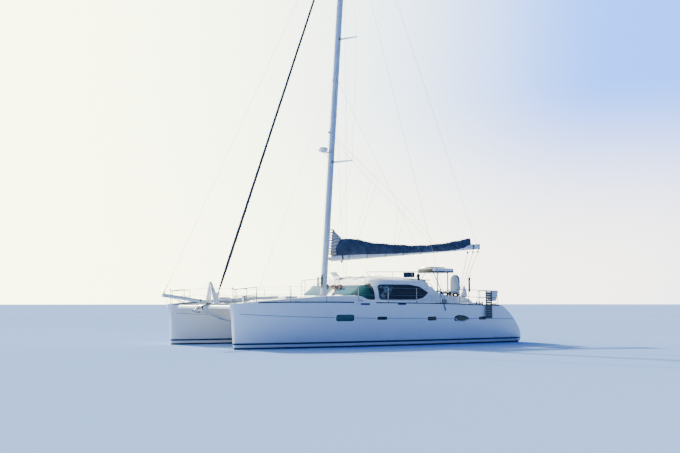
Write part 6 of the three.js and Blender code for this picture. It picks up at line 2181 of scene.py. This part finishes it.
def hanging_folds(top_left, top_right, drop, waves, depth, taper=1.0, phase=0.0):
    """A sheet gathered on a rod: it hangs down by drop, with pleats whose depth grows from
    the rod as the root of the drop, and its width closes in by taper lower down."""
    a, b = np.array(top_left, float), np.array(top_right, float)
    out = unit(np.cross(unit(b - a), [0, 0, 1]))
    u = np.linspace(0, 1, 60)[None, :, None]
    v = np.linspace(0, 1, 40)[:, None, None]
    middle = (a + b) / 2
    narrow = 1 - (1 - taper) * v
    swing = (depth * np.sqrt(v + .05) * np.sin(2 * np.pi * waves * u + phase + 1.2 * v)
             + depth * .4 * np.sin(2 * np.pi * (waves * 2.3) * u + 4 * v))
    return middle + (a + (b - a) * u - middle) * narrow + out * swing - np.array([0, 0, 1.0]) * drop * v


def thin(points, thickness=.0012):
    """A sheet with two faces half a thickness to either side of it along its normals."""
    du, dv = np.gradient(points, axis=1), np.gradient(points, axis=0)
    normal = unit(np.cross(du, dv))
    return plate(points + normal * thickness / 2, points - normal * thickness / 2)


def cloth_area(points):
    """The area of a grid of points: half the lengths of the cross products of two sides of
    each triangle, two triangles to a cell."""
    a = np.cross(points[1:, :-1] - points[:-1, :-1], points[:-1, 1:] - points[:-1, :-1])
    b = np.cross(points[1:, 1:] - points[:-1, 1:], points[1:, 1:] - points[1:, :-1])
    return (np.linalg.norm(a, axis=-1).sum() + np.linalg.norm(b, axis=-1).sum()) / 2


def hang(name, points, material):
    """Puts a gathered sheet up; its area over its length is worked out and not kept."""
    piece = put(name, thin(points), material, crease=70)
    length = float(np.linalg.norm(np.diff(points[:, 0], axis=0), axis=-1).sum())
    cloth_area(points) / length


canvas = hanging_folds((-1.79, 1.7, 3.15), (-2.45, 1.7, 3.16), .23, 5, .02, .97)
hang("rolled_canvas", canvas, NAVY)
canvas_ties = [tube([(x, 1.7 + .02 * math.cos(a), 3.155 + .022 * math.sin(a)) for a in around(12)], .004,
                    5, True) for x in (-1.82, -2.12, -2.42)]
put("canvas_ties", canvas_ties, NAVY)
staff = tube([(-4.45, 3.0, 1.7), (-4.62, 3.0, 3.02)], .012, 8)
put("flag_staff", staff, VARNISH)
for k, (drop, finish, shift) in enumerate(((.62, FLAG_RED, 0), (.66, FLAG_DARK, .045))):
    points = hanging_folds((-4.6 + shift, 2.985 + shift, 2.94), (-4.5 + shift, 3.03, 2.92), drop, 2.5,
                           .022, .8, phase=k)
    hang(f"flag_{k}", points, finish)


# Studio: a plain pale floor at the waterline, a bright cream sky behind the bow that turns
# blue towards the stern and overhead, and a low warm sun from ahead and starboard.

TO_SUN = (.08, -.9, .43)
CREAM_SKY = (8.2, 8.5, 5.2)
BLUE_SKY = (.42, 1.25, 4.2)
NEAR_SKY = (.12, .222, .47)
HIGH_SKY = (.16, .3, .66)
HAZE = (5.6, 5.2, 4.3)


def sky_colour(sky):
    """Sky by direction: its share towards the sun picks near, blue or cream; it dims with
    height, and pales to haze low down on the bright side."""
    direction = sky.node("ShaderNodeTexCoord").outputs["Generated"]
    height = Value(sky, sky.node("ShaderNodeSeparateXYZ", (), Vector=direction).outputs[2])
    dot = sky.node("ShaderNodeVectorMath", {"operation": "DOT_PRODUCT"}, in_0=direction,
                   in_1=(.45, -.885, .12))
    sunward = Value(sky, dot.outputs["Value"])
    colour = sky.mix(sky.ramp(sunward, -.55, .3), NEAR_SKY, BLUE_SKY)
    low = sky.ramp(height, .22, .03) * sky.ramp(sunward, -.15, .25) * .85
    colour = sky.mix(low, colour, HAZE)
    colour = sky.mix(sky.ramp(sunward, .24, .72), colour, CREAM_SKY)
    return sky.mix(sky.ramp(height, .3, .85), colour, HIGH_SKY)


def make_studio():
    """The sky all round, the sun, and a plain floor at the waterline."""
    world = bpy.data.worlds.new("soft_sky")
    world.use_nodes = True
    bpy.context.scene.world = world
    sky = Finish.over(world.node_tree)
    background = world.node_tree.nodes["Background"]
    sky.feed(background.inputs["Color"], sky_colour(sky))

    sun = bpy.data.lights.new("sun", "SUN")
    sun.energy = 17
    sun.angle = math.radians(3)
    sun.color = (1, .9, .72)
    lamp = bpy.data.objects.new("sun", sun)
    lamp.rotation_euler = Vector(TO_SUN).to_track_quat("Z", "Y").to_euler()
    bpy.context.scene.collection.objects.link(lamp)

    ground = Finish("floor_matt", (.185, .3, .58), .9, Specular_IOR_Level=0.0)
    ground.place()
    tone = ground.ramp(ground.noise(.03, 2), .35, .65)
    ground.set(Base_Color=ground.mix(tone, (.18, .292, .57), (.19, .308, .59)))
    reach = 1500.0
    plane = outward(block((-reach, reach), (-reach, reach), (-.2, 0), 0, 1))
    floor = put("floor", plane, ground.material, body=None)


make_studio()
